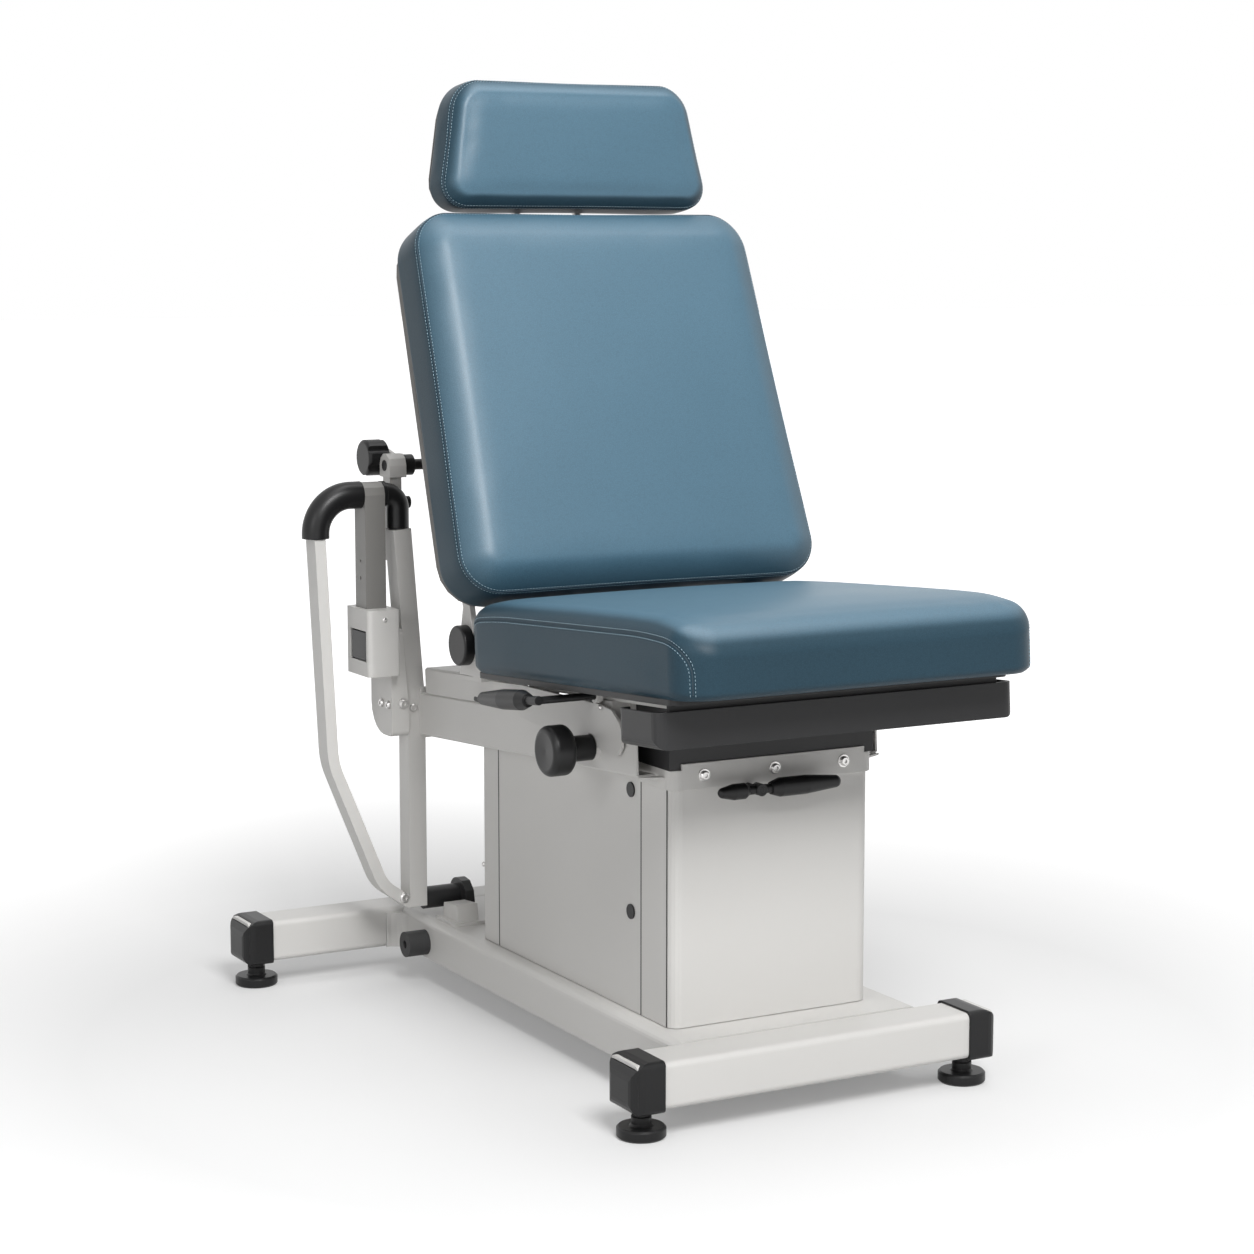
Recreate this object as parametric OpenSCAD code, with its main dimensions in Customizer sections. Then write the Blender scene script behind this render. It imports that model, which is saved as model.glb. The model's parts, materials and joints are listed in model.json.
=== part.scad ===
/* [Base] */
// Distance across the front end caps
front_span = 550; // [480:2:620]
// Distance across the rear end caps
rear_span = 858; // [780:2:920]
// Depth of the base from the front beam to the rear beam
base_depth = 985; // [940:5:1040]
// Depth of each cross beam
beam_depth = 70; // [60:1:80]
// Height of each cross beam
beam_height = 61; // [54:1:70]
// Height of the beams above the floor
beam_clear = 40; // [36:1:50]
// Wall of the beams and the plinth
beam_wall = 4; // [3:0.5:5]
// Width of the plinth between the beams
plinth_width = 348; // [330:2:366]
// Length of each end cap
cap_length = 45; // [38:1:52]
// Diameter of a levelling pad
pad_d = 63; // [50:1:72]
// Diameter of a levelling stem
stem_d = 12; // [10:0.5:14]

/* [Pedestal] */
// Width of the pedestal cover
cover_width = 302; // [290:2:310]
// Depth of the pedestal cover
cover_depth = 560; // [540:2:570]
// Height of the pedestal cover above the plinth
cover_height = 316; // [300:2:318]
// Sheet of the covers
cover_sheet = 2; // [1.5:0.5:3]
// Side of the outer column
column_side = 180; // [160:2:200]
// Wall of both columns
column_wall = 5; // [4:0.5:6]

/* [Seat] */
// Height of the seat frame's underside at the middle of the chair
seat_z = 409; // [409:1:440]
// Tilt of the seat frame in degrees, front up
seat_tilt = 4; // [2:0.5:5]
// Width across the seat rails
rail_span = 368; // [364:2:376]
// Height of a seat rail
rail_height = 64; // [58:1:66]
// Width of the seat cushion
seat_width = 524; // [480:2:530]
// Length of the seat cushion
seat_length = 616; // [580:2:616]
// Thickness of the seat cushion with its crown
seat_thick = 106; // [84:1:107]
// Width of the debris tray
tray_width = 528; // [510:2:534]

/* [Back] */
// Recline of the backrest from upright in degrees
recline = 21.6; // [20:0.2:23]
// Width of the backrest at its foot
back_width = 552; // [510:2:560]
// Length of the backrest cushion
back_length = 556; // [530:1:557]
// Thickness of the backrest cushion with its crown
back_thick = 100; // [86:1:102]
// Width of the headrest at its foot
head_width = 406; // [360:2:414]
// Height of the headrest cushion
head_length = 184; // [156:1:186]
// Thickness of the headrest cushion with its crown
head_thick = 66; // [60:1:78]
// Recline of the headrest from upright in degrees
head_recline = 6.8; // [4:0.2:8]

/* [Grab loop] */
// Height of the cross tube above the floor
loop_z = 742; // [730:1:750]
// Depth of the strut tubes
strut_depth = 34; // [28:1:38]
// Width of the inner strut
strut_width = 28; // [24:1:32]
// Width of the adjustable post
post_width = 32; // [28:1:34]
// Diameter of the star knob
star_d = 54; // [46:1:56]
// Diameter of the stop rod
rod_d = 16; // [12:0.5:18]

/* [Hidden] */
$fn = 48;
// Places of the base
rear_y = 545;
front_y = rear_y - base_depth;
beam_top = beam_clear + beam_height;
edge_r = 8;
arc_steps = 5;
over = 1;
touch_gap = 0.3;
run_gap = 0.05;
cap_proud = 3;
cap_round = 24;
cap_low = 14;
cap_end = 7;
foot_inset = 31;
pad_h = 15;
neck_d = 26;
neck_top = 27;
nut_h = 9;
nut_flats = 24;
stem_top = 84;
block_side = 34;
block_h = 30;
stem_slack = 1;
gusset_r = 26;
buffer_d = 38;
buffer_len = 34;
buffer_bore = 12;
buffer_y = 388;
buffer_z = 64;
// Places of the pedestal
cover_front_y = -318;
cover_rear_y = cover_front_y + cover_depth;
cover_gap = 0.8;
cover_z0 = beam_top + cover_gap;
cover_z1 = beam_top + cover_height + touch_gap + over;
cover_r = 16;
seam_gap = 1.2;
front_return = 80;
rear_return = 60;
plug_d = 20;
plug_proud = 2;
plug_back = 27;
plug_drops = [20, 183];
column_y = (cover_front_y + cover_rear_y) / 2;
outer_h = 294;
glide_t = 4;
glide_w = 60;
glide_h = 90;
inner_half = column_side / 2 - column_wall - glide_t - run_gap * 2;
head_z0 = 440;
head_h = 32;
inner_z0 = 106;
actuator_d = 56;
actuator_h = 226;
piston_d = 24;
piston_z0 = 116;
// Collar and release handle
collar_t = 3;
collar_slack = 0.5;
collar_drop = 26;
collar_rise = 8;
collar_side = 130;
screw_pitch = 106;
screw_d = 12.6;
washer_d = 17;
washer_t = 1.5;
screw_h = 4;
hex_d = 6;
handle_x = -41;
handle_reach = 29;
handle_z = 412;
handle_pin_d = 8;
hub_d = 16;
hub_len = 15;
small_grip = [44, 21];
shaft_grip = [34, 12];
large_grip = [106, 25];

// Arc of points round a centre
function arc(cx, cy, r, a0, a1, steps = arc_steps) =
  [for (i = [0:steps]) [cx + r * cos(a0 + (a1 - a0) * i / steps), cy + r * sin(a0 + (a1 - a0) * i / steps)]];

// Rectangle from corner to corner with its own radius at lower left, lower right, upper right, upper left
function soft_rect(x0, y0, x1, y1, radii) = concat(
  arc(x0 + radii[0], y0 + radii[0], radii[0], 180, 270),
  arc(x1 - radii[1], y0 + radii[1], radii[1], 270, 360),
  arc(x1 - radii[2], y1 - radii[2], radii[2], 0, 90),
  arc(x0 + radii[3], y1 - radii[3], radii[3], 90, 180));

// Flat outlines given across and up, carried along X, Y or Z
module along_x(x0, x1) {
  translate([x0, 0, 0])
    rotate([90, 0, 90])
      linear_extrude(x1 - x0)
        children();
}
module along_y(y0, y1) {
  translate([0, y1, 0])
    rotate([90, 0, 0])
      linear_extrude(y1 - y0)
        children();
}
module along_z(z0, z1) {
  translate([0, 0, z0])
    linear_extrude(z1 - z0)
      children();
}

// Block between two corners
module block(low, high) {
  translate(low)
    cube([high[0] - low[0], high[1] - low[1], high[2] - low[2]]);
}

// Round bars along an axis
module bar_x(x0, x1, d) {
  translate([x0, 0, 0])
    rotate([0, 90, 0])
      cylinder(h = x1 - x0, d = d);
}
module bar_y(y0, y1, d) {
  translate([0, y1, 0])
    rotate([90, 0, 0])
      cylinder(h = y1 - y0, d = d);
}
module both_sides() {
  children();
  mirror([1, 0, 0])
    children();
}
module powder() {
  color([0.79, 0.785, 0.77])
    children();
}
module black() {
  color([0.13, 0.13, 0.135])
    children();
}
module dark() {
  color([0.3, 0.3, 0.31])
    children();
}
module zinc() {
  color([0.7, 0.7, 0.7])
    children();
}
module vinyl() {
  color([0.3, 0.44, 0.54])
    children();
}

// Cross beams: box tubes with rounded edges, holes for the stems below
module beam_outline(y0, inset) {
  r = edge_r - inset;
  polygon(soft_rect(y0 + inset, beam_clear + inset, y0 + beam_depth - inset, beam_top - inset, [r, r, r, r]));
}
module cross_beam(y0, span) {
  powder()
    difference() {
      along_x(-span / 2 + cap_end, span / 2 - cap_end)
        beam_outline(y0, 0);
      along_x(-span / 2, span / 2)
        beam_outline(y0, beam_wall);
      both_sides()
        translate([span / 2 - foot_inset, y0 + beam_depth / 2, 0])
          cylinder(h = beam_clear + beam_wall + over, d = stem_d + 2 * stem_slack);
    }
}
module front_beam() {
  cross_beam(front_y, front_span);
}
module rear_beam() {
  cross_beam(rear_y - beam_depth, rear_span);
}

// End caps: sleeves over the beam ends with a big round at the top outer edge
module end_caps(y0, span) {
  x0 = span / 2 - cap_length;
  x1 = span / 2;
  z0 = beam_clear - cap_proud;
  z1 = beam_top + cap_proud;
  ya = y0 - cap_proud;
  yb = y0 + beam_depth + cap_proud;
  black()
    both_sides()
      difference() {
        intersection() {
          along_y(ya, yb)
            polygon(soft_rect(x0, z0, x1, z1, [over, cap_low, cap_round, over]));
          along_z(z0, z1)
            polygon(soft_rect(x0, ya, x1, yb, [over, cap_round * 2 / 3, cap_round * 2 / 3, over]));
          along_x(x0, x1)
            polygon(soft_rect(ya, z0, yb, z1, [edge_r, edge_r, edge_r, edge_r]));
        }
        along_x(x0 - over, x1 - cap_end)
          beam_outline(y0, 0);
        translate([x1 - foot_inset, y0 + beam_depth / 2, 0])
          cylinder(h = beam_clear + over, d = stem_d + 2 * stem_slack);
      }
}
module front_end_caps() {
  end_caps(front_y, front_span);
}
module rear_end_caps() {
  end_caps(rear_y - beam_depth, rear_span);
}

// Levelling feet: pad, neck and stem turned as one, and what holds the stem
function foot_place(side, rear) = rear
  ? [side * (rear_span / 2 - foot_inset), rear_y - beam_depth / 2, 0]
  : [side * (front_span / 2 - foot_inset), front_y + beam_depth / 2, 0];
module levelling_foot(side, rear) {
  r = pad_d / 2;
  rim = pad_h / 6;
  black()
    translate(foot_place(side, rear)) {
      rotate_extrude()
        polygon([[0, 0], [r - rim, 0], [r, rim], [r, pad_h - rim], [r - rim, pad_h],
          [neck_d / 2 + rim, pad_h], [neck_d / 2, pad_h + rim], [neck_d / 2, neck_top],
          [stem_d / 2, neck_top], [stem_d / 2, stem_top], [0, stem_top]]);
    }
}
module foot_front_left() {
  levelling_foot(1, false);
}
module foot_front_right() {
  levelling_foot(-1, false);
}
module foot_rear_left() {
  levelling_foot(1, true);
}
module foot_rear_right() {
  levelling_foot(-1, true);
}
module at_feet() {
  for (side = [-1, 1])
    for (rear = [false, true])
      translate(foot_place(side, rear))
        children();
}

// Lock nut under each beam and threaded block inside it
module foot_nuts() {
  zinc()
    at_feet()
      difference() {
        union() {
          translate([0, 0, beam_clear - cap_proud - nut_h])
            cylinder(h = nut_h, d = nut_flats / cos(30), $fn = 6);
          translate([-block_side / 2, -block_side / 2, beam_clear + beam_wall])
            cube([block_side, block_side, block_h]);
        }
        translate([0, 0, beam_clear - cap_proud - nut_h - over])
          cylinder(h = stem_top, d = stem_d + 2 * run_gap);
      }
}

// Plinth: folded channel, open below, with a fillet into each beam
plinth_more = 22;
module plinth_outline(inset) {
  half = plinth_width / 2 - inset;
  r = edge_r + beam_wall - inset;
  polygon(soft_rect(-half, beam_clear - inset, half + plinth_more, beam_top - inset, [over, over, r, r]));
}
module gusset(x, y, turn) {
  translate([x, y, 0])
    mirror([0, turn, 0])
      along_z(beam_clear, beam_top - edge_r)
        polygon(concat([[0, 0]], arc(gusset_r, gusset_r, gusset_r, 270, 180)));
}
module base_plinth() {
  y0 = front_y + beam_depth;
  y1 = rear_y - beam_depth;
  powder()
    union() {
      difference() {
        along_y(y0, y1)
          plinth_outline(0);
        along_y(y0 + beam_wall, y1 - beam_wall)
          plinth_outline(beam_wall);
      }
      for (more = [plinth_more, 0])
        mirror([more > 0 ? 0 : 1, 0, 0]) {
          gusset(plinth_width / 2 + more, y0, 0);
          gusset(plinth_width / 2 + more, y1, 1);
        }
    }
}
module side_buffer() {
  black()
    translate([0, buffer_y, buffer_z])
      difference() {
        bar_x(-plinth_width / 2 - buffer_len, -plinth_width / 2, buffer_d);
        bar_x(-plinth_width / 2 - buffer_len - over, -plinth_width / 2 - buffer_len / 2, buffer_bore);
      }
}

// Bracket on the plinth that the claw sits beside when the seat is down
dock_x = [-160, -118];
dock_foot_x = -100;
dock_gap = 70;
dock_len = 68;
dock_y = [cover_rear_y + dock_gap, cover_rear_y + dock_gap + dock_len];
dock_foot_t = 5;
dock_top = 131;
dock_lean = 4;
module dock_bracket() {
  z0 = beam_top;
  z1 = beam_top + dock_foot_t;
  inset = edge_r;
  powder()
    union() {
      block([dock_x[0], dock_y[0], z0], [dock_foot_x, dock_y[1], z1]);
      along_x(dock_x[0] + inset, dock_x[1])
        polygon([[dock_y[0] + inset, z1], [dock_y[0] + inset + dock_lean, dock_top],
          [dock_y[1] - inset - dock_lean, dock_top - dock_lean], [dock_y[1] - inset, z1]]);
    }
}

// Pedestal covers: one folded ring cut at the seams
module cover_ring() {
  half = cover_width / 2;
  s = cover_sheet;
  difference() {
    polygon(soft_rect(-half, cover_front_y, half, cover_rear_y, [cover_r, cover_r, cover_r, cover_r]));
    polygon(soft_rect(-half + s, cover_front_y + s, half - s, cover_rear_y - s,
      [cover_r - s, cover_r - s, cover_r - s, cover_r - s]));
  }
}
module cover_part(x0, x1, y0, y1) {
  along_z(cover_z0, cover_z1)
    intersection() {
      cover_ring();
      polygon([[x0, y0], [x1, y0], [x1, y1], [x0, y1]]);
    }
}
seam_front = cover_front_y + front_return;
seam_rear = cover_rear_y - rear_return;
module front_cover() {
  powder()
    cover_part(-cover_width, cover_width, cover_front_y - over, seam_front);
}
module rear_cover() {
  powder()
    cover_part(-cover_width, cover_width, seam_rear, cover_rear_y + over);
}
module at_plugs() {
  for (drop = plug_drops)
    translate([0, seam_front + plug_back, cover_z1 - drop])
      children();
}
module side_cover() {
  powder()
    difference() {
      cover_part(0, cover_width, seam_front + seam_gap, seam_rear - seam_gap);
      at_plugs()
        bar_x(0, cover_width, plug_d - 2 * plug_proud);
    }
}
module left_cover() {
  side_cover();
}
module right_cover() {
  mirror([1, 0, 0])
    side_cover();
}
module cover_plugs() {
  half = cover_width / 2;
  black()
    both_sides()
      at_plugs()
        union() {
          bar_x(half, half + plug_proud, plug_d);
          bar_x(half - cover_sheet - plug_proud, half + over, plug_d - 2 * plug_proud);
        }
}

// Lift: two columns with glide pads between them, and the actuator inside
module square_tube(half, wall, z0, z1) {
  translate([0, column_y, 0])
    difference() {
      block([-half, -half, z0], [half, half, z1]);
      block([wall - half, wall - half, z0 - over], [half - wall, half - wall, z1 + over]);
    }
}
module outer_column() {
  dark()
    square_tube(column_side / 2, column_wall, beam_top, beam_top + outer_h);
}
module inner_column() {
  dark()
    square_tube(inner_half, column_wall, inner_z0, head_z0);
}
module column_glides() {
  inside = column_side / 2 - column_wall;
  z1 = beam_top + outer_h;
  black()
    for (turn = [0:90:270])
      translate([0, column_y, 0])
        rotate([0, 0, turn])
          block([-glide_w / 2, inside - glide_t, z1 - glide_h], [glide_w / 2, inside, z1]);
}
module lift_actuator() {
  black()
    translate([0, column_y, beam_top])
      difference() {
        cylinder(h = actuator_h, d = actuator_d);
        translate([0, 0, beam_wall])
          cylinder(h = actuator_h, d = piston_d + 2 * run_gap);
      }
}
module actuator_rod() {
  zinc()
    translate([0, column_y, piston_z0])
      cylinder(h = head_z0 - piston_z0, d = piston_d);
}

// Seat frame: everything on it is drawn level and then tilted front up
module seat_frame() {
  translate([0, 0, seat_z])
    rotate([-seat_tilt, 0, 0])
      children();
}
loop_gap = 155;
loop_y = cover_rear_y + loop_gap;
strut_front_y = loop_y - strut_depth / 2;
rail_t = 3;
rail_flange = 26;
rail_front_v = -286;
rail_end_t = 6;
rail_end_drop = 8;
deck_h = 38;
deck_t = 3;
deck_front_v = 20;
deck_rear_gap = 28;
deck_v = [deck_front_v, strut_front_y - deck_rear_gap];
deck_w0 = rail_height;
deck_w1 = rail_height + deck_h;
oval = [110, 44];
oval_place = [-95, 285];
upstand_h = 19;
upstand_len = 200;
riser_len = 36;
riser_h = 30;
riser_v = [-226, -28];
support_x = [140, 180];
support_h = 18;
support_front_v = -470;
support_w0 = rail_height + riser_h;
board_w0 = support_w0 + support_h;
board_t = 8;
board_inset = 14;
board_front = 60;
seat_front_v = -559.6;
ear_v = [[-152, -100], [-20, 50]];
ear_z = [446, 460];
head_side_gap = 3;
head_rear_y = 100;
collar_half = cover_width / 2 + collar_slack + collar_t;
collar_front_y = cover_front_y - collar_slack - collar_t;
collar_z0 = head_z0 - collar_drop;

// Dark head on the inner column, its ears reach into both rails
module column_head() {
  half = rail_span / 2 - rail_flange - head_side_gap;
  web = rail_span / 2 - rail_t;
  dark()
    union() {
      block([-half, collar_front_y + collar_t, head_z0], [half, head_rear_y, head_z0 + head_h]);
      for (v = ear_v)
        block([-web, v[0], ear_z[0]], [web, v[1], ear_z[1]]);
    }
}

// Collar round the top of the pedestal, with a wing to each rail end
module collar() {
  inner = collar_half - collar_t;
  side_y = collar_front_y + collar_side;
  wing_z = head_z0 - collar_drop / 2;
  powder()
    union() {
      along_z(collar_z0, head_z0)
        difference() {
          polygon(soft_rect(-collar_half, collar_front_y, collar_half, side_y, [cover_r, cover_r, over, over]));
          polygon(soft_rect(-inner, collar_front_y + collar_t, inner, side_y + over,
            [cover_r - collar_t, cover_r - collar_t, over, over]));
        }
      block([cover_r - collar_half, collar_front_y, head_z0],
        [collar_half - cover_r, collar_front_y + collar_t, head_z0 + collar_rise]);
      both_sides()
        along_z(wing_z, wing_z + collar_t)
          polygon([[inner + over, collar_front_y + cover_r], [rail_span / 2, rail_front_v - collar_t],
            [inner + over, rail_front_v - collar_t]]);
    }
}
module screw_head(d, h, recess) {
  difference() {
    rotate_extrude()
      polygon([[0, 0], [d / 2, 0], [d / 2, h / 2], [d * 3 / 8, h], [0, h]]);
    translate([0, 0, h / 2])
      cylinder(h = h, d = recess, $fn = 6);
  }
}
module collar_screws() {
  z = head_z0 - collar_drop / 3;
  zinc()
    for (i = [-1:1])
      translate([i * screw_pitch, collar_front_y, z])
        rotate([90, 0, 0])
          union() {
            cylinder(h = washer_t, d = washer_d);
            translate([0, 0, washer_t])
              screw_head(screw_d, screw_h, hex_d);
          }
}
module handle_pin() {
  black()
    translate([handle_x, 0, handle_z])
      bar_y(collar_front_y - handle_reach - hub_len / 2, collar_front_y, handle_pin_d);
}

// Turned grip along +X from its small end
module turned_grip(length, d) {
  r = d / 2;
  rotate([0, 90, 0])
    rotate_extrude()
      polygon(concat([[0, 0], [r * 2 / 3, 0], [r, length / 8], [r, length / 2]],
        arc(0, length - r * 2 / 3, r * 2 / 3, 15, 90)));
}
module release_handle() {
  y = collar_front_y - handle_reach;
  x0 = handle_x - shaft_grip[0] / 2;
  x1 = handle_x + shaft_grip[0] / 2;
  black()
    translate([0, y, handle_z])
      difference() {
        union() {
          bar_x(x0 - over, x1 + over, shaft_grip[1]);
          translate([handle_x, 0, 0])
            bar_y(-hub_len / 2, hub_len / 2, hub_d);
          translate([x1, 0, 0])
            turned_grip(large_grip[0], large_grip[1]);
          mirror([1, 0, 0])
            translate([-x0, 0, 0])
              turned_grip(small_grip[0], small_grip[1]);
        }
        translate([handle_x, 0, 0])
          bar_y(-hub_len, hub_len, handle_pin_d + 2 * run_gap);
      }
}

// Seat rails: C section open inwards, cut upright at the rear, with an end plate
knob_place = [-175, 452];
knob_boss_d = 32;
knob_boss_x = 192;
stud_d = 10;
module rail_section() {
  x1 = rail_span / 2;
  x0 = x1 - rail_flange;
  t = rail_t;
  polygon([[x0, 0], [x1 - t, 0], [x1, t], [x1, rail_height - t], [x1 - t, rail_height], [x0, rail_height],
    [x0, rail_height - t], [x1 - t, rail_height - t], [x1 - t, t], [x0, t]]);
}
module seat_rail() {
  cut_y = strut_front_y - rail_end_t;
  drop = sin(seat_tilt) * cut_y;
  difference() {
    seat_frame()
      along_y(rail_front_v, strut_front_y * 2)
        rail_section();
    block([0, cut_y, 0], [rail_span, strut_front_y * 3, seat_z * 2]);
  }
  along_y(cut_y, cut_y + rail_end_t)
    polygon(soft_rect(rail_span / 2 - rail_flange, seat_z - drop - rail_end_drop / 2, rail_span / 2,
      seat_z - drop + rail_height + rail_end_drop,
      [rail_end_drop, rail_end_drop, rail_end_drop, rail_end_drop]));
}
module left_rail() {
  powder()
    seat_rail();
}
module right_rail() {
  powder()
    difference() {
      union() {
        mirror([1, 0, 0])
          seat_rail();
        translate([0, knob_place[0], knob_place[1]])
          bar_x(-knob_boss_x, -rail_span / 2 + over, knob_boss_d);
      }
      translate([0, knob_place[0], knob_place[1]])
        bar_x(-knob_boss_x - over, -rail_span / 2 + rail_flange, stud_d + 2 * run_gap);
    }
}

// Rear deck: plate with side flanges, an oval opening and one upstand
module rear_deck() {
  half = rail_span / 2;
  powder()
    seat_frame()
      difference() {
        union() {
          along_y(deck_v[0], deck_v[1])
            polygon([[-half, deck_w0], [deck_t - half, deck_w0], [deck_t - half, deck_w1 - deck_t],
              [half - deck_t, deck_w1 - deck_t], [half - deck_t, deck_w0], [half, deck_w0],
              [half, deck_w1 - deck_t], [half - deck_t, deck_w1], [deck_t - half, deck_w1],
              [-half, deck_w1 - deck_t]]);
          block([half - deck_t, deck_v[1] - upstand_len, deck_w1 - deck_t], [half, deck_v[1], deck_w1 + upstand_h]);
        }
        translate([oval_place[0], oval_place[1], deck_w0])
          union() {
              for (side = [-1, 1])
                translate([side * (oval[0] - oval[1]) / 2, 0, 0])
                  cylinder(h = deck_h * 2, d = oval[1]);
              block([(oval[1] - oval[0]) / 2, -oval[1] / 2, 0], [(oval[0] - oval[1]) / 2, oval[1] / 2, deck_h * 2]);
            }
      }
}

// Risers with the tray runners, and the two supports under the seat board
runner_t = 4;
runner_lip = 8;
runner_v = [-236, -100];
module seat_risers() {
  half = rail_span / 2;
  x0 = half - rail_flange;
  powder()
    seat_frame()
      both_sides() {
        for (v = riser_v)
          block([x0, v, rail_height], [half, v + riser_len, rail_height + riser_h]);
        block([x0 - runner_t, runner_v[0], rail_height - rail_t],
          [x0, runner_v[1], rail_height + riser_h - rail_t]);
        block([x0 - runner_t - runner_lip, runner_v[0], rail_height - rail_t],
          [x0 - runner_t, runner_v[1], rail_height]);
      }
}
module seat_supports() {
  black()
    seat_frame()
      both_sides()
        block([support_x[0], support_front_v, support_w0], [support_x[1], deck_v[0] - touch_gap, board_w0]);
}

// Debris tray: wide trough at the front and a narrow pan behind that runs between the rails
tray_w = [58, 104];
tray_v = [-486, -385];
tray_t = 4;
tray_r = 14;
pan_rear_v = -112;
wall_drop = 11.4;
pan_drop = 3;
module tray_body(inset, top) {
  half = tray_width / 2 - inset;
  r = tray_r - inset;
  intersection() {
    along_z(tray_w[0] + inset, top)
      polygon(soft_rect(-half, tray_v[0] + inset, half, tray_v[1] - inset, [r, r, r, r]));
    along_y(tray_v[0], tray_v[1])
      polygon(soft_rect(-half, tray_w[0] + inset, half, top + over, [r, r, over, over]));
  }
}
module debris_tray() {
  half = tray_width / 2;
  pan = rail_span / 2 - rail_flange - runner_t - touch_gap;
  pan_w0 = rail_height + touch_gap;
  back_wall = tray_w[1] - wall_drop;
  pan_w1 = back_wall - pan_drop;
  black()
    seat_frame()
      difference() {
        union() {
          tray_body(0, tray_w[1]);
          block([-pan, tray_v[1] - tray_t, pan_w0], [pan, pan_rear_v, pan_w1]);
        }
        tray_body(tray_t, tray_w[1] + over);
        block([tray_t + tray_r - half, tray_v[1] - tray_t - over, back_wall],
          [half - tray_t - tray_r, tray_v[1] + over, tray_w[1] + over]);
        block([tray_t - pan, tray_v[0] + tray_r, pan_w0 + pan_drop], [pan - tray_t, pan_rear_v - tray_t, tray_w[1] + over]);
      }
}

// Side plates: the outline is given as shares of its length and height
plate_v0 = -265;
plate_w0 = 25;
plate_size = [390, 74];
plate_t = 4;
plate_x = knob_boss_x;
plate_shares = [[1, 0.99], [0.73, 1], [0.146, 0.865], [0.07, 0.8], [0.02, 0.6], [0, 0.42], [0.01, 0.15],
  [0.035, 0.02], [0.06, 0], [0.16, 0.08], [0.3, 0.13], [0.44, 0.2], [0.58, 0.28], [0.7, 0.37], [0.8, 0.5]];
plate_boss_d = 20;
plate_boss_shares = [[0.19, 0.4], [0.62, 0.42], [0.86, 0.82]];
lever_place = [-193, 523];
lever_shaft_d = 10;
lever_boss_d = 20;
module plain_side_plate() {
  seat_frame() {
    along_x(plate_x - plate_t, plate_x)
      polygon([for (p = plate_shares) [plate_v0 + p[0] * plate_size[0], plate_w0 + p[1] * plate_size[1]]]);
    for (p = plate_boss_shares)
      translate([0, plate_v0 + p[0] * plate_size[0], plate_w0 + p[1] * plate_size[1]])
        bar_x(rail_span / 2, plate_x - plate_t + over, plate_boss_d);
  }
}
module side_plates() {
  powder() {
    plain_side_plate();
    difference() {
      union() {
        mirror([1, 0, 0])
          plain_side_plate();
        translate([0, lever_place[0], lever_place[1]])
          bar_x(-plate_x - plate_t, plate_t - plate_x, lever_boss_d);
      }
      translate([0, knob_place[0], knob_place[1]])
        bar_x(-plate_x - over, over - rail_span / 2, knob_boss_d + plate_t);
      translate([0, lever_place[0], lever_place[1]])
        bar_x(-plate_x - plate_t - over, over - rail_span / 2, lever_shaft_d + 2 * run_gap);
    }
  }
}

// Recline lever: a cross shaft and a grip that points back
lever_grip = [140, 27];
lever_neck = [26, 12];
lever_dip = 7;
lever_gap = 4;
lever_x = seat_width / 2 + lever_gap + lever_grip[1] / 2;
module recline_lever() {
  black()
    translate([0, lever_place[0], lever_place[1]])
      union() {
        bar_x(-lever_x, -plate_x + plate_t, lever_shaft_d);
        translate([-lever_x, 0, 0])
          rotate([-lever_dip, 0, 0])
            rotate([0, 0, 90]) {
              bar_x(-lever_neck[1] / 2, lever_neck[0], lever_neck[1]);
              translate([lever_neck[0] - over, 0, 0])
                turned_grip(lever_grip[0], lever_grip[1]);
            }
      }
}

// Side clamp knob: dished wheel, neck and stud turned as one
knob_d = 67;
knob_len = 34;
knob_neck = [34, 34];
knob_stud = 20;
module side_knob() {
  r = knob_d / 2;
  soft = r / 4;
  x0 = knob_neck[1];
  black()
    translate([-knob_boss_x - touch_gap, knob_place[0], knob_place[1]])
      rotate([0, -90, 0])
        rotate_extrude()
          polygon(concat([[0, -knob_stud], [stud_d / 2, -knob_stud], [stud_d / 2, 0], [knob_neck[0] / 2, 0],
            [knob_neck[0] / 2, x0]],
            arc(r - soft, x0 + soft, soft, 270, 360),
            arc(r - soft, x0 + knob_len - soft, soft, 0, 90),
            [[0, x0 + knob_len - soft / 4]]));
}

// Board under the seat cushion, with a lip that reaches down behind the tray's front
lip_t = 6;
lip_gap = 4;
lip_drop = 16;
module seat_board() {
  half = seat_width / 2 - board_inset;
  lip_half = tray_width / 2 - tray_t - tray_r - lip_gap;
  lip_v = tray_v[0] + tray_t + lip_gap;
  dark()
    seat_frame()
      union() {
        along_z(board_w0, board_w0 + board_t)
          polygon(soft_rect(-half, seat_front_v + board_front, half, seat_front_v + seat_length - board_inset,
            [board_inset, board_inset, board_inset, board_inset]));
        block([-lip_half, lip_v, board_w0 - lip_drop], [lip_half, lip_v + lip_t, board_w0 + over]);
      }
}

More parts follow.
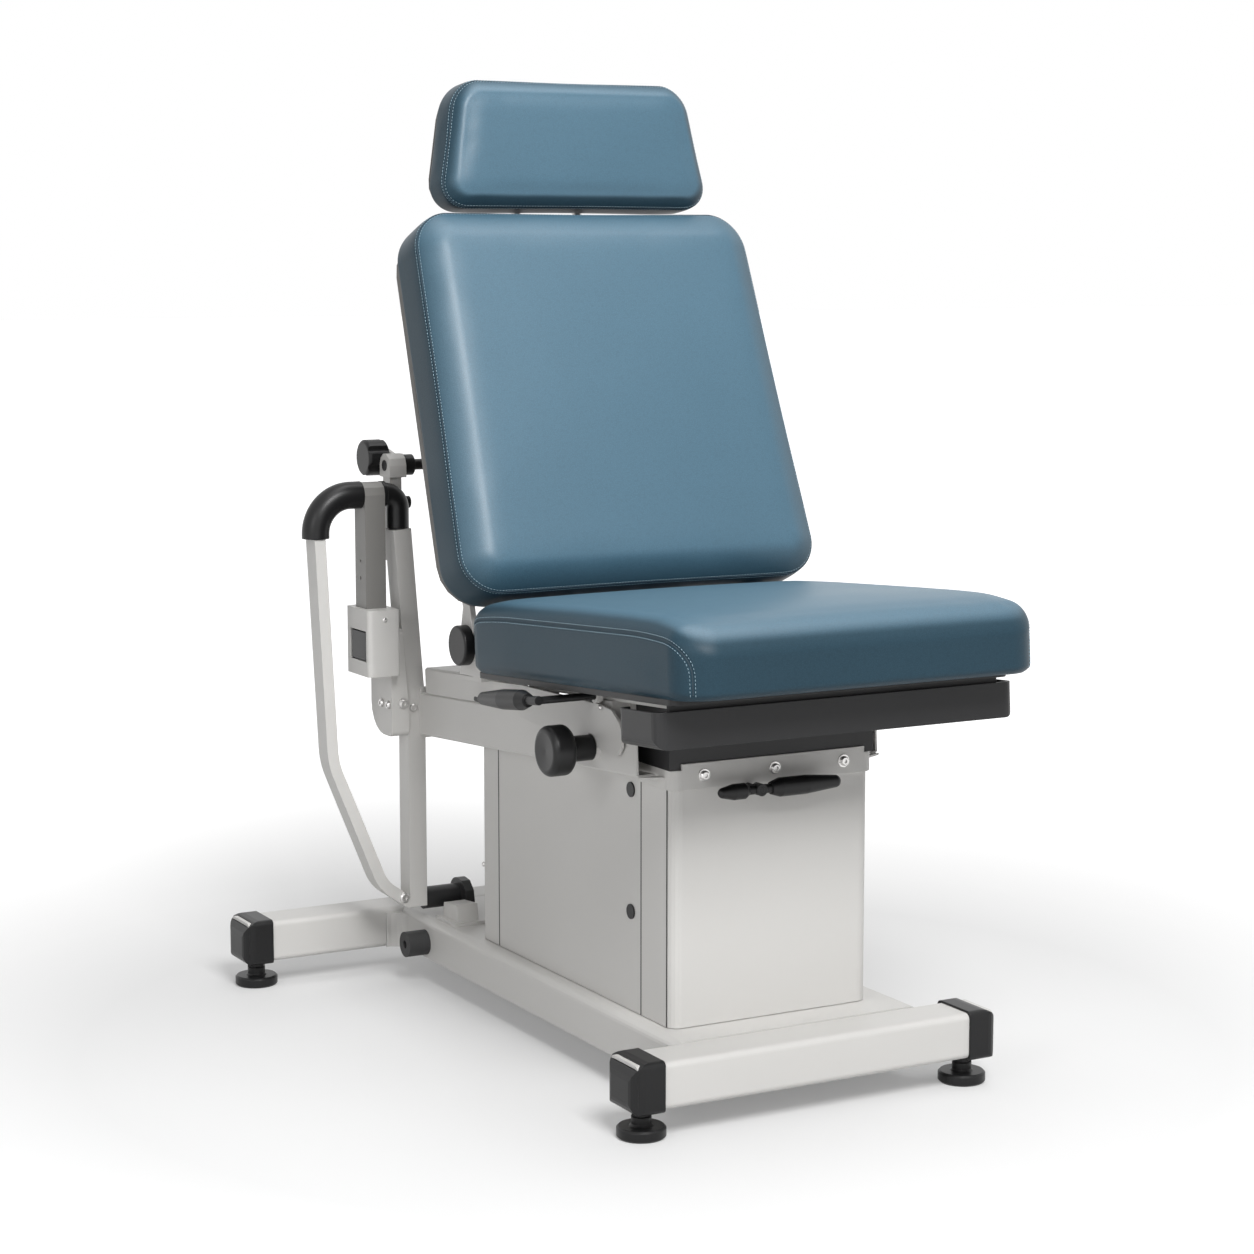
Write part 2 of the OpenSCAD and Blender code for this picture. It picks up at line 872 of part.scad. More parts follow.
// Cushions: rings of points round a soft rectangle, drawn in between the corners, closed by a crown
ring_arc = 5;
ring_side = 4;
function side_dip(dip, s) = dip * 4 * s * (1 - s);
function ring_corner(c) = [[1, 1], [-1, 1], [-1, -1], [1, -1]][c];
function ring_quarter(hx, hy, r, dip, z, c) =
  let (
    k = ring_corner(c),
    n = ring_corner((c + 1) % 4),
    mx = k[0] * (hx - r),
    my = k[1] * (hy - r),
    nx = n[0] * (hx - r),
    ny = n[1] * (hy - r),
    a0 = 90 * c,
    a1 = a0 + 90
  )
  concat(
    [for (i = [0:ring_arc]) [mx + r * cos(a0 + 90 * i / ring_arc), my + r * sin(a0 + 90 * i / ring_arc), z]],
    [for (i = [1:ring_side])
      let (s = i / (ring_side + 1), d = r - side_dip(dip, s))
      [mx + (nx - mx) * s + d * cos(a1), my + (ny - my) * s + d * sin(a1), z]]);
function ring(hx, hy, r, dip, z) = [for (c = [0:3]) each ring_quarter(hx, hy, r, dip, z, c)];

// One ring for each level: inset from the outline, height, draw-in at mid side
function cushion_rings(size, r, levels) =
  [for (l = levels)
    let (hx = size[0] / 2 - l[0], hy = size[1] / 2 - l[0])
    ring(hx, hy, min(max(r - l[0] / 2, r / 4), hx * 0.98, hy * 0.98), l[2], l[1])];

// Narrows the plan towards its far end and lowers the near end of the top
function cushion_bend(p, size, taper, fall, fall_len) =
  let (
    t = p[1] / size[1],
    near = max(0, (-p[1] - size[1] / 2 + fall_len) / fall_len),
    far = max(0, (p[1] - size[1] / 2 + fall_len) / fall_len)
  )
  [p[0] * (1 - taper * t), p[1], p[2] * (1 - fall[0] * near * near - fall[1] * far * far)];
module cushion_solid(size, r, levels, taper, fall, fall_len) {
  rings = cushion_rings(size, r, levels);
  count = len(rings[0]);
  rows = len(rings);
  low = [0, 0, levels[0][1]];
  high = [0, 0, levels[rows - 1][1]];
  points = [for (p = concat([for (g = rings) each g], [low, high])) cushion_bend(p, size, taper, fall, fall_len)];
  faces = concat(
    [for (j = [0:rows - 2], i = [0:count - 1])
      [j * count + i, (j + 1) * count + (i + 1) % count, j * count + (i + 1) % count]],
    [for (j = [0:rows - 2], i = [0:count - 1])
      [j * count + i, (j + 1) * count + i, (j + 1) * count + (i + 1) % count]],
    [for (i = [0:count - 1]) [rows * count, i, (i + 1) % count]],
    [for (i = [0:count - 1]) [rows * count + 1, (rows - 1) * count + (i + 1) % count, (rows - 1) * count + i]]);
  polyhedron(points, faces, convexity = 4);
}

// Side and crown of a cushion: shares of its thickness against insets in shares of the corner radius
side_shares = [[0.26, 0], [0.1, 0.04], [0.02, 0.16], [0, 0.42], [0.03, 0.64], [0.06, 0.74], [0.16, 0.8]];
crown_shares = [[0.08, 0.865], [0.2, 0.93], [0.45, 0.98], [0.75, 1]];
function cushion_levels(size, r, thick, dip) = concat(
  [for (s = side_shares) [s[0] * r, s[1] * thick, s[1] > 0 ? dip : 0]],
  [for (s = crown_shares) [s[0] * min(size[0], size[1]) / 2, s[1] * thick, 0]]);
seat_r = 46;
seat_dip = 3;
seat_fall = [0.16, 0.12];
seat_fall_len = 150;
module seat_cushion() {
  size = [seat_width, seat_length];
  vinyl()
    seat_frame()
      translate([0, seat_front_v + seat_length / 2, board_w0 + board_t + touch_gap])
        cushion_solid(size, seat_r, cushion_levels(size, seat_r, seat_thick, seat_dip), 0, seat_fall, seat_fall_len);
}

// Backrest frame: origin on the hinge axis, up along the back, Y to its rear
hinge_place = [105, 555];
module back_frame() {
  translate([0, hinge_place[0], hinge_place[1]])
    rotate([-recline, 0, 0])
      children();
}
hinge_pin_d = 16;
hinge_boss_d = 48;
hinge_plate = [220, 226];
hinge_pin_x = [212, 246];
hinge_foot_t = 6;
hinge_foot_y = [74, 150];
hinge_foot_x = 150;
arm_x = [228, 236];
cap_x = [236.3, 252];
cap_d = 56;
shell_y = [-42, -30];
shell_drop = [-6, 7];
shell_inset = 7;
back_r = 60;
back_dip = 5;
back_taper = 0.07;
back_z0 = 39;
back_z1 = back_z0 + back_length;
shell_z = [back_z0 - shell_drop[0], back_z1 - shell_drop[1]];
arm_z = [52, 150];
arm_bar = 22;

// Seat side of the hinge: foot on the deck, upright and its pin
module hinge_brackets() {
  foot_z0 = seat_z + deck_w1 / cos(seat_tilt);
  y0 = hinge_foot_y[0];
  y1 = hinge_foot_y[1];
  r = hinge_boss_d / 2;
  powder()
    both_sides()
      union() {
        seat_frame()
          block([hinge_foot_x, y0, deck_w1], [hinge_plate[1], y1, deck_w1 + hinge_foot_t]);
        along_x(hinge_plate[0], hinge_plate[1])
          polygon(concat(arc(hinge_place[0], hinge_place[1], r, -10, 190),
            [[y0, foot_z0], [y1, foot_z0 - rail_t]]));
        translate([0, hinge_place[0], hinge_place[1]])
          bar_x(hinge_pin_x[0], hinge_pin_x[1], hinge_pin_d);
      }
}
module hinge_caps() {
  black()
    both_sides()
      translate([0, hinge_place[0], hinge_place[1]])
        difference() {
          translate([cap_x[0], 0, 0])
            rotate([0, 90, 0])
              rotate_extrude()
                polygon(concat([[0, 0], [cap_d / 2, 0]],
                  arc(cap_d / 2 - rail_t, cap_x[1] - cap_x[0] - rail_t, rail_t, 0, 90),
                  [[0, cap_x[1] - cap_x[0]]]));
          bar_x(cap_x[0] - over, hinge_pin_x[1], hinge_pin_d);
        }
}
module back_arms() {
  r = hinge_boss_d / 2;
  y1 = shell_y[1];
  powder()
    back_frame()
      both_sides()
        difference() {
          along_x(arm_x[0], arm_x[1])
            polygon(concat(arc(0, 0, r, 180, 385),
              [[y1 + arm_bar, arm_z[0]], [y1 + arm_bar, arm_z[1] - arm_bar / 2], [y1 + arm_bar / 2, arm_z[1]],
                [y1, arm_z[1]], [y1, arm_z[0]]]));
          bar_x(arm_x[0] - over, arm_x[1] + over, hinge_pin_d + 2 * run_gap);
        }
}

// Back shell: narrowing plate with soft corners
function shell_outline(half, u0, u1, r, taper) =
  [for (p = soft_rect(-half, u0, half, u1, [r, r, r, r]))
    [p[0] * (1 - taper * ((p[1] - u0) / (u1 - u0) - 0.5)), p[1]]];
module back_shell() {
  dark()
    back_frame()
      along_y(shell_y[0], shell_y[1])
        polygon(shell_outline(back_width / 2 - shell_inset, shell_z[0], shell_z[1], back_r, back_taper));
}
module back_cushion() {
  size = [back_width, back_length];
  vinyl()
    back_frame()
      translate([0, shell_y[0] - touch_gap, back_z0 + back_length / 2])
        rotate([90, 0, 0])
          cushion_solid(size, back_r, cushion_levels(size, back_r, back_thick, back_dip), back_taper, [0, 0], seat_fall_len);
}

// Headrest posts in their guides, and the tilting bracket
post_x = 50;
post_y = -19;
post_d = 14;
post_foot = 303;
guide_w = 28;
guide_y1 = -8;
guide_drops = [195, 75];
guide_len = 40;
guide_z = [for (d = guide_drops) [back_z1 - d, back_z1 - d + guide_len]];
pivot_rise = 87;
pivot_z = back_z1 + pivot_rise;
pivot_y = -60;
head_boss_d = 24;
head_pin_d = 10;
head_pin_x = 34;
head_mid_x = 18;
head_ear_x = [20, 28];
bracket_x = 64;
bracket_h = 20;
bracket_drop = 26;
bracket_z = [pivot_z - bracket_drop, pivot_z - bracket_drop + bracket_h];
head_shell_y = [-25, -15];
rest_z0 = -68;
head_r = 44;
head_dip = 3;
head_taper = 0.17;
head_shell_inset = 6;
module at_posts() {
  for (side = [-1, 1])
    translate([side * post_x, post_y, 0])
      children();
}
module post_guides() {
  black()
    back_frame()
      for (u = guide_z)
        for (side = [-1, 1])
          difference() {
            block([side * post_x - guide_w / 2, shell_y[1], u[0]], [side * post_x + guide_w / 2, guide_y1, u[1]]);
            translate([side * post_x, post_y, u[0] - over])
              cylinder(h = u[1] - u[0] + 2 * over, d = post_d + 2 * run_gap);
          }
}
module head_posts() {
  zinc()
    back_frame()
      at_posts()
        translate([0, 0, back_z1 - post_foot])
          cylinder(h = bracket_z[0] - back_z1 + post_foot, d = post_d);
}
module head_bracket() {
  r = head_boss_d / 2;
  y1 = post_y + post_d * 2 / 3;
  y0 = post_y - post_d * 2 / 3;
  black()
    back_frame()
      union() {
        block([-bracket_x, y0, bracket_z[0]], [bracket_x, y1, bracket_z[1]]);
        along_x(-head_mid_x, head_mid_x)
          polygon(concat([[y1, bracket_z[0]], [y1, bracket_z[1]]], arc(pivot_y, pivot_z, r * 0.98, 60, 240),
            [[y0, bracket_z[0]]]));
        translate([0, pivot_y, pivot_z])
          bar_x(-head_pin_x, head_pin_x, head_pin_d);
      }
}
head_place = [
  hinge_place[0] + pivot_z * sin(recline) + pivot_y * cos(recline),
  hinge_place[1] + pivot_z * cos(recline) - pivot_y * sin(recline)
];
module head_frame() {
  translate([0, head_place[0], head_place[1]])
    rotate([-head_recline, 0, 0])
      children();
}
module head_shell() {
  r = head_boss_d / 2 - over;
  inset = head_shell_inset;
  black()
    head_frame()
      difference() {
        union() {
          along_y(head_shell_y[0], head_shell_y[1])
            polygon(shell_outline(head_width / 2 - inset, rest_z0 + inset, rest_z0 + head_length - inset, head_r, head_taper));
          both_sides()
            along_x(head_ear_x[0], head_ear_x[1])
              polygon(concat(arc(0, 0, r, -90, 90), [[head_shell_y[0] + over, r * 2], [head_shell_y[0] + over, -r * 2]]));
        }
        bar_x(-head_pin_x, head_pin_x, head_pin_d + 2 * run_gap);
      }
}
module head_cushion() {
  size = [head_width, head_length];
  vinyl()
    head_frame()
      translate([0, head_shell_y[0] - touch_gap, rest_z0 + head_length / 2])
        rotate([90, 0, 0])
          cushion_solid(size, head_r, cushion_levels(size, head_r, head_thick, head_dip), head_taper, [0, 0], head_length);
}

// Loop on the sitter's right: socket block with its housing, post, struts and stop rod
loop_depth = [loop_y - strut_depth / 2, loop_y + strut_depth / 2];
socket_x = [-276, -226];
socket_reach = [-45, 39];
socket_y = [loop_y + socket_reach[0], loop_y + socket_reach[1]];
socket_z = [478, 576];
house_x = [-230, -202];
house_reach = [-21, 54];
house_y = [loop_y + house_reach[0], loop_y + house_reach[1]];
house_z = [383, 543];
house_r = 45;
socket_r = 8;
post_x_mid = -252;
post_side = 38;
post_z0 = 490;
post_slack = 0.3;
window_reach = [-35, 23];
window_y = [loop_y + window_reach[0], loop_y + window_reach[1]];
window_z = [500, 545];
latch_behind = 17;
latch_place = [-273, loop_y + latch_behind];
latch_pin_d = 4;
latch_t = 5;
latch_slack = 2;
cross_d = 24;
cross_x = [-284, -222];
hole_z = [620, 645];
hole_d = 5;
module post_socket() {
  half = [post_width / 2 + post_slack, post_side / 2 + post_slack];
  powder()
    difference() {
      union() {
        along_z(socket_z[0], socket_z[1])
          polygon(soft_rect(socket_x[0], socket_y[0], socket_x[1], socket_y[1],
            [socket_r, socket_r / 2, socket_r / 2, socket_r]));
        along_x(house_x[0], house_x[1])
          polygon(soft_rect(house_y[0], house_z[0], house_y[1], house_z[1],
            [socket_r, house_r, socket_r, socket_r]));
      }
      along_y(house_y[0] - over, house_y[1] + over)
        polygon(ribbon(strut_path, strut_width + 2 * touch_gap));
      block([post_x_mid - half[0], loop_y - half[1], post_z0 - latch_pin_d],
        [post_x_mid + half[0], loop_y + half[1], socket_z[1] + over]);
      block([socket_x[0] - over, window_y[0], window_z[0]], [post_x_mid, window_y[1], window_z[1]]);
      translate([latch_place[0], latch_place[1], window_z[0] - latch_pin_d])
        cylinder(h = window_z[1] - window_z[0] + 2 * latch_pin_d, d = latch_pin_d + 2 * run_gap);
    }
}
module post_latch() {
  x0 = latch_place[0] - latch_t / 2;
  x1 = latch_place[0] + latch_t / 2;
  z0 = window_z[0] + latch_slack;
  z1 = window_z[1] - latch_slack;
  dark()
    union() {
      along_z(z0, z1)
        polygon(concat([[x1, window_y[0] + latch_slack]], arc(latch_place[0], latch_place[1], latch_t / 2, 0, 180),
          [[x0, window_y[0] + latch_slack]]));
      translate([latch_place[0], latch_place[1], z0 - latch_pin_d * 0.75])
        cylinder(h = z1 - z0 + latch_pin_d * 1.5, d = latch_pin_d);
    }
}
module loop_post() {
  x0 = post_x_mid - post_width / 2;
  r = post_side / 2;
  powder()
    difference() {
      union() {
        along_x(x0, x0 + post_width)
          polygon(concat(arc(loop_y, loop_z, r, 0, 180), [[loop_y - r, post_z0], [loop_y + r, post_z0]]));
        translate([0, loop_y, loop_z])
          bar_x(cross_x[0], cross_x[1], cross_d);
      }
      for (z = hole_z)
        translate([0, loop_y, z])
          bar_x(x0 - over, x0 + socket_r, hole_d);
    }
}

// Bent flat bars: a centre line with an arc at each bend, drawn out sideways to a ribbon
bend_steps = 6;
function unit(v) = v / norm(v);
function bend(p, c, n, r) =
  let (
    a = unit(p - c),
    b = unit(n - c),
    half = acos(a * b) / 2,
    m = c + unit(a + b) * r / sin(half),
    a0 = atan2((c + a * r / tan(half) - m)[1], (c + a * r / tan(half) - m)[0]),
    a1 = atan2((c + b * r / tan(half) - m)[1], (c + b * r / tan(half) - m)[0]),
    turn = a1 - a0 > 180 ? a1 - a0 - 360 : (a1 - a0 < -180 ? a1 - a0 + 360 : a1 - a0)
  )
  [for (i = [0:bend_steps]) m + r * [cos(a0 + turn * i / bend_steps), sin(a0 + turn * i / bend_steps)]];
function offset_line(line, d) =
  [for (i = [0:len(line) - 1])
    let (t = unit(line[min(i + 1, len(line) - 1)] - line[max(i - 1, 0)]))
    line[i] + d * [-t[1], t[0]]];
function ribbon(line, w) =
  let (far = offset_line(line, -w / 2))
  concat(offset_line(line, w / 2), [for (i = [1:len(far)]) far[len(far) - i]]);
strut_line = [[-188, 122], [-188, 430], [-208, 690]];
strut_bend = 160;
strut_path = concat([strut_line[0]], bend(strut_line[0], strut_line[1], strut_line[2], strut_bend), [strut_line[2]]);
module inner_strut() {
  powder()
    along_y(loop_depth[0], loop_depth[1])
      polygon(ribbon(strut_path, strut_width));
}
bow_t = 17;
bow_line = [[-338, 681], [-322, 350], [-245, 160], [-195, 125]];
bow_bends = [120, 60];
module bow_strut() {
  line = concat([bow_line[0]], bend(bow_line[0], bow_line[1], bow_line[2], bow_bends[0]),
    bend(bow_line[1], bow_line[2], bow_line[3], bow_bends[1]), [bow_line[3]]);
  cut_x = strut_line[0][0] - strut_width / 2;
  powder()
    difference() {
      along_y(loop_depth[0], loop_depth[1])
        polygon(ribbon(line, bow_t));
      block([cut_x, loop_depth[0] - over, 0], [0, loop_depth[1] + over, loop_z]);
    }
}

// Grips on the cross tube: each turns down into its strut
grip_d = 40;
grip_bend_x = -284;
short_d = strut_depth - 2 * touch_gap;
grip_slack = 0.6;
ring_d = 38;
ring_x = [-236, -230];
module elbow(from, to, z_end, d) {
  side = to < from ? -1 : 1;
  reach = abs(to - from);
  translate([from, loop_y, loop_z - reach])
    mirror([side < 0 ? 1 : 0, 0, 0])
      rotate([90, 0, 0])
        rotate_extrude(angle = 90)
          translate([reach, 0])
            circle(d = d);
  translate([to, loop_y, z_end])
    cylinder(h = loop_z - reach - z_end, d = d);
}
module loop_grips() {
  black() {
    difference() {
      union() {
        elbow(grip_bend_x, bow_line[0][0], bow_line[0][1] + grip_slack, grip_d);
        translate([0, loop_y, loop_z])
          bar_x(grip_bend_x, post_x_mid - post_width / 2, grip_d);
      }
      translate([0, loop_y, loop_z])
        bar_x(cross_x[0], post_x_mid, cross_d);
    }
    difference() {
      union() {
        elbow(ring_x[1], strut_line[2][0], strut_line[2][1] + 2 * grip_slack, short_d);
        translate([0, loop_y, loop_z])
          bar_x(post_x_mid + post_width / 2, ring_x[1], ring_d);
      }
      translate([0, loop_y, loop_z])
        bar_x(post_x_mid, cross_x[1], cross_d);
    }
  }
}

// Screws that hold the loop together: heads on the faces
pivot_place = [-211, 138];
mid_place = [-193.5, 424];
housing_screw_ahead = [10, -14];
housing_screw_z = 430;
washer_place = [-212, 432];
module loop_fasteners() {
  front = loop_depth[0];
  zinc() {
    translate([pivot_place[0], front, pivot_place[1]])
      rotate([90, 0, 0])
        screw_head(screw_d * 1.2, screw_h, hex_d);
    translate([mid_place[0], front, mid_place[1]])
      rotate([90, 0, 0])
        screw_head(screw_d, screw_h, hex_d);
    translate([washer_place[0], house_y[0], washer_place[1]])
      rotate([90, 0, 0]) {
        cylinder(h = washer_t, d = washer_d);
        translate([0, 0, washer_t])
          screw_head(screw_d, screw_h, hex_d);
      }
    for (ahead = housing_screw_ahead)
      translate([house_x[0], loop_y - ahead, housing_screw_z])
        rotate([0, -90, 0])
          screw_head(screw_d, screw_h, hex_d);
  }
}

// Claw on its tube: docks beside the bracket on the plinth
claw_z = 130;
claw_tube_d = 33;
claw_x = [-117, -103];
claw_d = 50;
claw_leg = [[0, 25], [-17, 23], [-31, 10], [-37, -23], [-21, -23], [-16, -8], [0, 0]];
module claw() {
  dark()
    union() {
      translate([0, loop_y, claw_z])
        bar_x(strut_line[0][0] + strut_width / 2, claw_x[0], claw_tube_d);
      translate([0, loop_y, claw_z]) {
        bar_x(claw_x[0], claw_x[1], claw_d);
        along_x(claw_x[0], claw_x[1])
          polygon(claw_leg);
      }
    }
}

// Clamp on its stem behind the inner strut: holds the stop rod
stem_x = [-212, -193.5];
stem_t = 25;
stem_y = [loop_depth[1], loop_depth[1] + stem_t];
stem_z = [640, 764];
clamp_x = [-215, -188];
clamp_reach = [11, 47];
clamp_y = [loop_y + clamp_reach[0], loop_y + clamp_reach[1]];
clamp_z1 = 799;
rod_z = 781;
rod_place = [(clamp_y[0] + clamp_y[1]) / 2, rod_z];
rod_x = [-216, -120];
rod_collar_d = 31;
rod_collar_x = [-187.5, -172];
star_behind = 26;
star_z = 790;
star_place = [clamp_y[1] + star_behind, star_z];
star_bore = 8;
lug_x = [-194.5, -188];
lug_d = 24;
stem_screw_z = 725.6;
stem_screw = [(stem_y[0] + stem_y[1]) / 2, stem_screw_z];
stem_screw_d = 6;
module stem_clamp() {
  r = (clamp_y[1] - clamp_y[0]) / 2;
  powder()
    difference() {
      union() {
        block([stem_x[0], stem_y[0], stem_z[0]], [stem_x[1], stem_y[1], stem_z[1]]);
        along_x(clamp_x[0], clamp_x[1])
          polygon(concat(arc(rod_place[0], rod_place[1], r, 0, 180), [[clamp_y[0], stem_z[1]], [clamp_y[1], stem_z[1]]]));
        along_x(lug_x[0], lug_x[1])
          polygon(concat(arc(star_place[0], star_place[1], lug_d / 2, -90, 90),
            [[clamp_y[1] - over, star_place[1] + lug_d / 4], [clamp_y[1] - over, star_place[1] - lug_d / 2]]));
      }
      translate([0, rod_place[0], rod_place[1]])
        bar_x(clamp_x[0] - over, clamp_x[1] + over, rod_d + 2 * run_gap);
      translate([0, star_place[0], star_place[1]])
        bar_x(lug_x[0] - over, lug_x[1] + over, star_bore + 2 * run_gap);
      translate([0, stem_screw[0], stem_screw[1]])
        bar_x(stem_x[0] - over, stem_x[1] + over, stem_screw_d + 2 * run_gap);
    }
}
module stop_rod() {
  black()
    translate([0, rod_place[0], rod_place[1]])
      union() {
        bar_x(rod_x[0], rod_x[1], rod_d);
        bar_x(rod_collar_x[0], rod_collar_x[1], rod_collar_d);
      }
}

// Hand knob: lobes round a hub, on its stud
star_x = [-231, -197];
star_lobes = 6;
star_groove = 15;
star_soft = 5;
module star_knob() {
  r = star_d / 2;
  length = star_x[1] - star_x[0];
  black()
    translate([0, star_place[0], star_place[1]])
      union() {
        difference() {
          translate([star_x[0], 0, 0])
            rotate([0, 90, 0])
              rotate_extrude()
                polygon(concat([[0, 0]], arc(r - star_soft, star_soft, star_soft, 270, 360),
                  arc(r - star_soft, length - star_soft, star_soft, 0, 90), [[0, length]]));
          for (i = [0:star_lobes - 1])
            rotate([360 * i / star_lobes, 0, 0])
              translate([0, 0, r + star_groove / 4])
                bar_x(star_x[0] - over, star_x[1] + over, star_groove);
        }
        bar_x(star_x[1] - over, lug_x[1], star_bore);
      }
}
stem_knob_d = 18;
stem_knob_len = 17;
module stem_thumbscrew() {
  x0 = stem_x[1] + touch_gap;
  black()
    translate([0, stem_screw[0], stem_screw[1]])
      union() {
        bar_x(x0, x0 + stem_knob_len, stem_knob_d);
        bar_x(stem_x[0], x0 + over, stem_screw_d);
      }
}

base_plinth();
front_beam();
rear_beam();
front_end_caps();
rear_end_caps();
foot_front_left();
foot_front_right();
foot_rear_left();
foot_rear_right();
foot_nuts();
side_buffer();
dock_bracket();
front_cover();
rear_cover();
left_cover();
right_cover();
cover_plugs();
outer_column();
column_glides();
lift_actuator();
actuator_rod();
inner_column();
column_head();
collar();
collar_screws();
handle_pin();
release_handle();
left_rail();
right_rail();
rear_deck();
seat_risers();
seat_supports();
debris_tray();
side_plates();
hinge_brackets();
recline_lever();
side_knob();
seat_board();
seat_cushion();
back_arms();
hinge_caps();
back_shell();
back_cushion();
post_guides();
head_posts();
head_bracket();
head_shell();
head_cushion();
post_socket();
post_latch();
loop_post();
inner_strut();
bow_strut();
loop_grips();
loop_fasteners();
claw();  // tube_and_claw
stem_clamp();
stop_rod();
star_knob();
stem_thumbscrew();
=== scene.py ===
"""Podiatry chair: materials, sewn cushions, small trim and the stage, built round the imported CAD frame."""
import json
import math

import bpy
import numpy as np
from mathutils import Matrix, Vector
from mathutils.bvhtree import BVHTree


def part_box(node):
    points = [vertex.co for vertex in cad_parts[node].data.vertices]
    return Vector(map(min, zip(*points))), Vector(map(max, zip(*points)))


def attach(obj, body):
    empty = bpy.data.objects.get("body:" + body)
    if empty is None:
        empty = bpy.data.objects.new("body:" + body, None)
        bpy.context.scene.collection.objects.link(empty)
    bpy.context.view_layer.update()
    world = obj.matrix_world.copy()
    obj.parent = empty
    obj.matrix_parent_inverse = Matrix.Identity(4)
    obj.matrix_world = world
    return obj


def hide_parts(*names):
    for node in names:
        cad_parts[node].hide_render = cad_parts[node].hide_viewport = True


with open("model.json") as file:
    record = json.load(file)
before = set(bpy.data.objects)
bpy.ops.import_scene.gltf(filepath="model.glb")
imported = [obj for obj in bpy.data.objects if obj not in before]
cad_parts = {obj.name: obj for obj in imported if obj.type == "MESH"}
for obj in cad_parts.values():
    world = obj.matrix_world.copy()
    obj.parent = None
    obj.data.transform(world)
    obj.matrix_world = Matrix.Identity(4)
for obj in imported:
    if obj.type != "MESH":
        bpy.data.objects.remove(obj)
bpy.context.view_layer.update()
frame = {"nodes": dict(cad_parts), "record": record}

bl_info = {
    "name": "Podiatry Chair",
    "version": (1, 0, 0),
    "blender": (4, 5, 0),
    "location": "3D View > Sidebar > Podiatry Chair",
    "description": "Dresses the packed frame of a podiatry chair with upholstery, finishes, light and camera",
    "category": "Object",
}

MM = 0.001
WHITE = (1.0, 1.0, 1.0, 1.0)
BEVEL_SAMPLES = 4


# Node tree helpers
def set_inputs(tree, node, inputs):
    """Gives a node's inputs plain values, and links them where the value is an output socket."""
    for key, value in inputs.items():
        if isinstance(value, bpy.types.NodeSocket):
            tree.links.new(value, node.inputs[key])
        else:
            node.inputs[key].default_value = value


def add(tree, kind, inputs=None, **settings):
    """One shader node: inputs are plain values or output sockets, settings are the node's own fields."""
    node = tree.nodes.new(kind)
    for key, value in settings.items():
        setattr(node, key, value)
    set_inputs(tree, node, inputs or {})
    return node


def maths(tree, operation, *values):
    """Result of a Math node."""
    return add(tree, "ShaderNodeMath", dict(enumerate(values)), operation=operation).outputs[0]


def vector_maths(tree, operation, inputs, output="Vector"):
    """Result of a Vector Math node."""
    return add(tree, "ShaderNodeVectorMath", inputs, operation=operation).outputs[output]


def ramp(tree, value, low, high, to_low, to_high):
    """Maps value from the range low..high to to_low..to_high, clamped."""
    return add(tree, "ShaderNodeMapRange", {0: value, 1: low, 2: high, 3: to_low, 4: to_high}).outputs[0]


def noise(tree, place, scale, detail):
    """Outputs of a noise texture."""
    return add(tree, "ShaderNodeTexNoise", {"Vector": place, "Scale": scale, "Detail": detail}).outputs


def object_place(tree):
    """Where the shaded point is in its object."""
    return add(tree, "ShaderNodeTexCoord").outputs["Object"]


def new_group(name, inputs, outputs):
    """An empty node group with named float or colour sockets: its tree, the values that it is given, and the
    node that takes its results."""
    tree = bpy.data.node_groups.new(name, "ShaderNodeTree")
    for label, kind, default in inputs:
        socket = tree.interface.new_socket(label, in_out="INPUT", socket_type="NodeSocket" + kind)
        socket.default_value = default
    for label, kind in outputs:
        tree.interface.new_socket(label, in_out="OUTPUT", socket_type="NodeSocket" + kind)
    return tree, tree.nodes.new("NodeGroupInput").outputs, tree.nodes.new("NodeGroupOutput")


def soft_variation():
    """Group: a base colour drifts lighter and darker in broad patches, and roughness drifts with it."""
    tree, given, results = new_group(
        "soft variation",
        [("Color", "Color", (0.5, 0.5, 0.5, 1)), ("Amount", "Float", 0.05), ("Size", "Float", 6.0),
         ("Roughness", "Float", 0.5), ("Spread", "Float", 0.05)],
        [("Color", "Color"), ("Roughness", "Float")])
    patches = noise(tree, object_place(tree), given["Size"], 5.0)["Fac"]
    centred = maths(tree, "SUBTRACT", patches, 0.5)
    shift = maths(tree, "MULTIPLY_ADD", centred, given["Amount"], 1.0)
    set_inputs(tree, results, {
        "Color": vector_maths(tree, "SCALE", {0: given["Color"], "Scale": shift}),
        "Roughness": maths(tree, "MULTIPLY_ADD", centred, given["Spread"], given["Roughness"]),
    })
    return tree


def fine_grain():
    """Group: height of a moulded or sprayed skin, small cells under a finer noise."""
    tree, given, results = new_group(
        "fine grain",
        [("Cell Scale", "Float", 900.0), ("Noise Scale", "Float", 1500.0), ("Mix", "Float", 0.5)],
        [("Height", "Float")])
    place = object_place(tree)
    cells = add(tree, "ShaderNodeTexVoronoi", {"Vector": place, "Scale": given["Cell Scale"]},
                feature="SMOOTH_F1").outputs["Distance"]
    finer = noise(tree, place, given["Noise Scale"], 3.0)["Fac"]
    mixed = add(tree, "ShaderNodeMix", {0: given["Mix"], 2: cells, 3: finer})
    set_inputs(tree, results, {"Height": mixed.outputs[0]})
    return tree


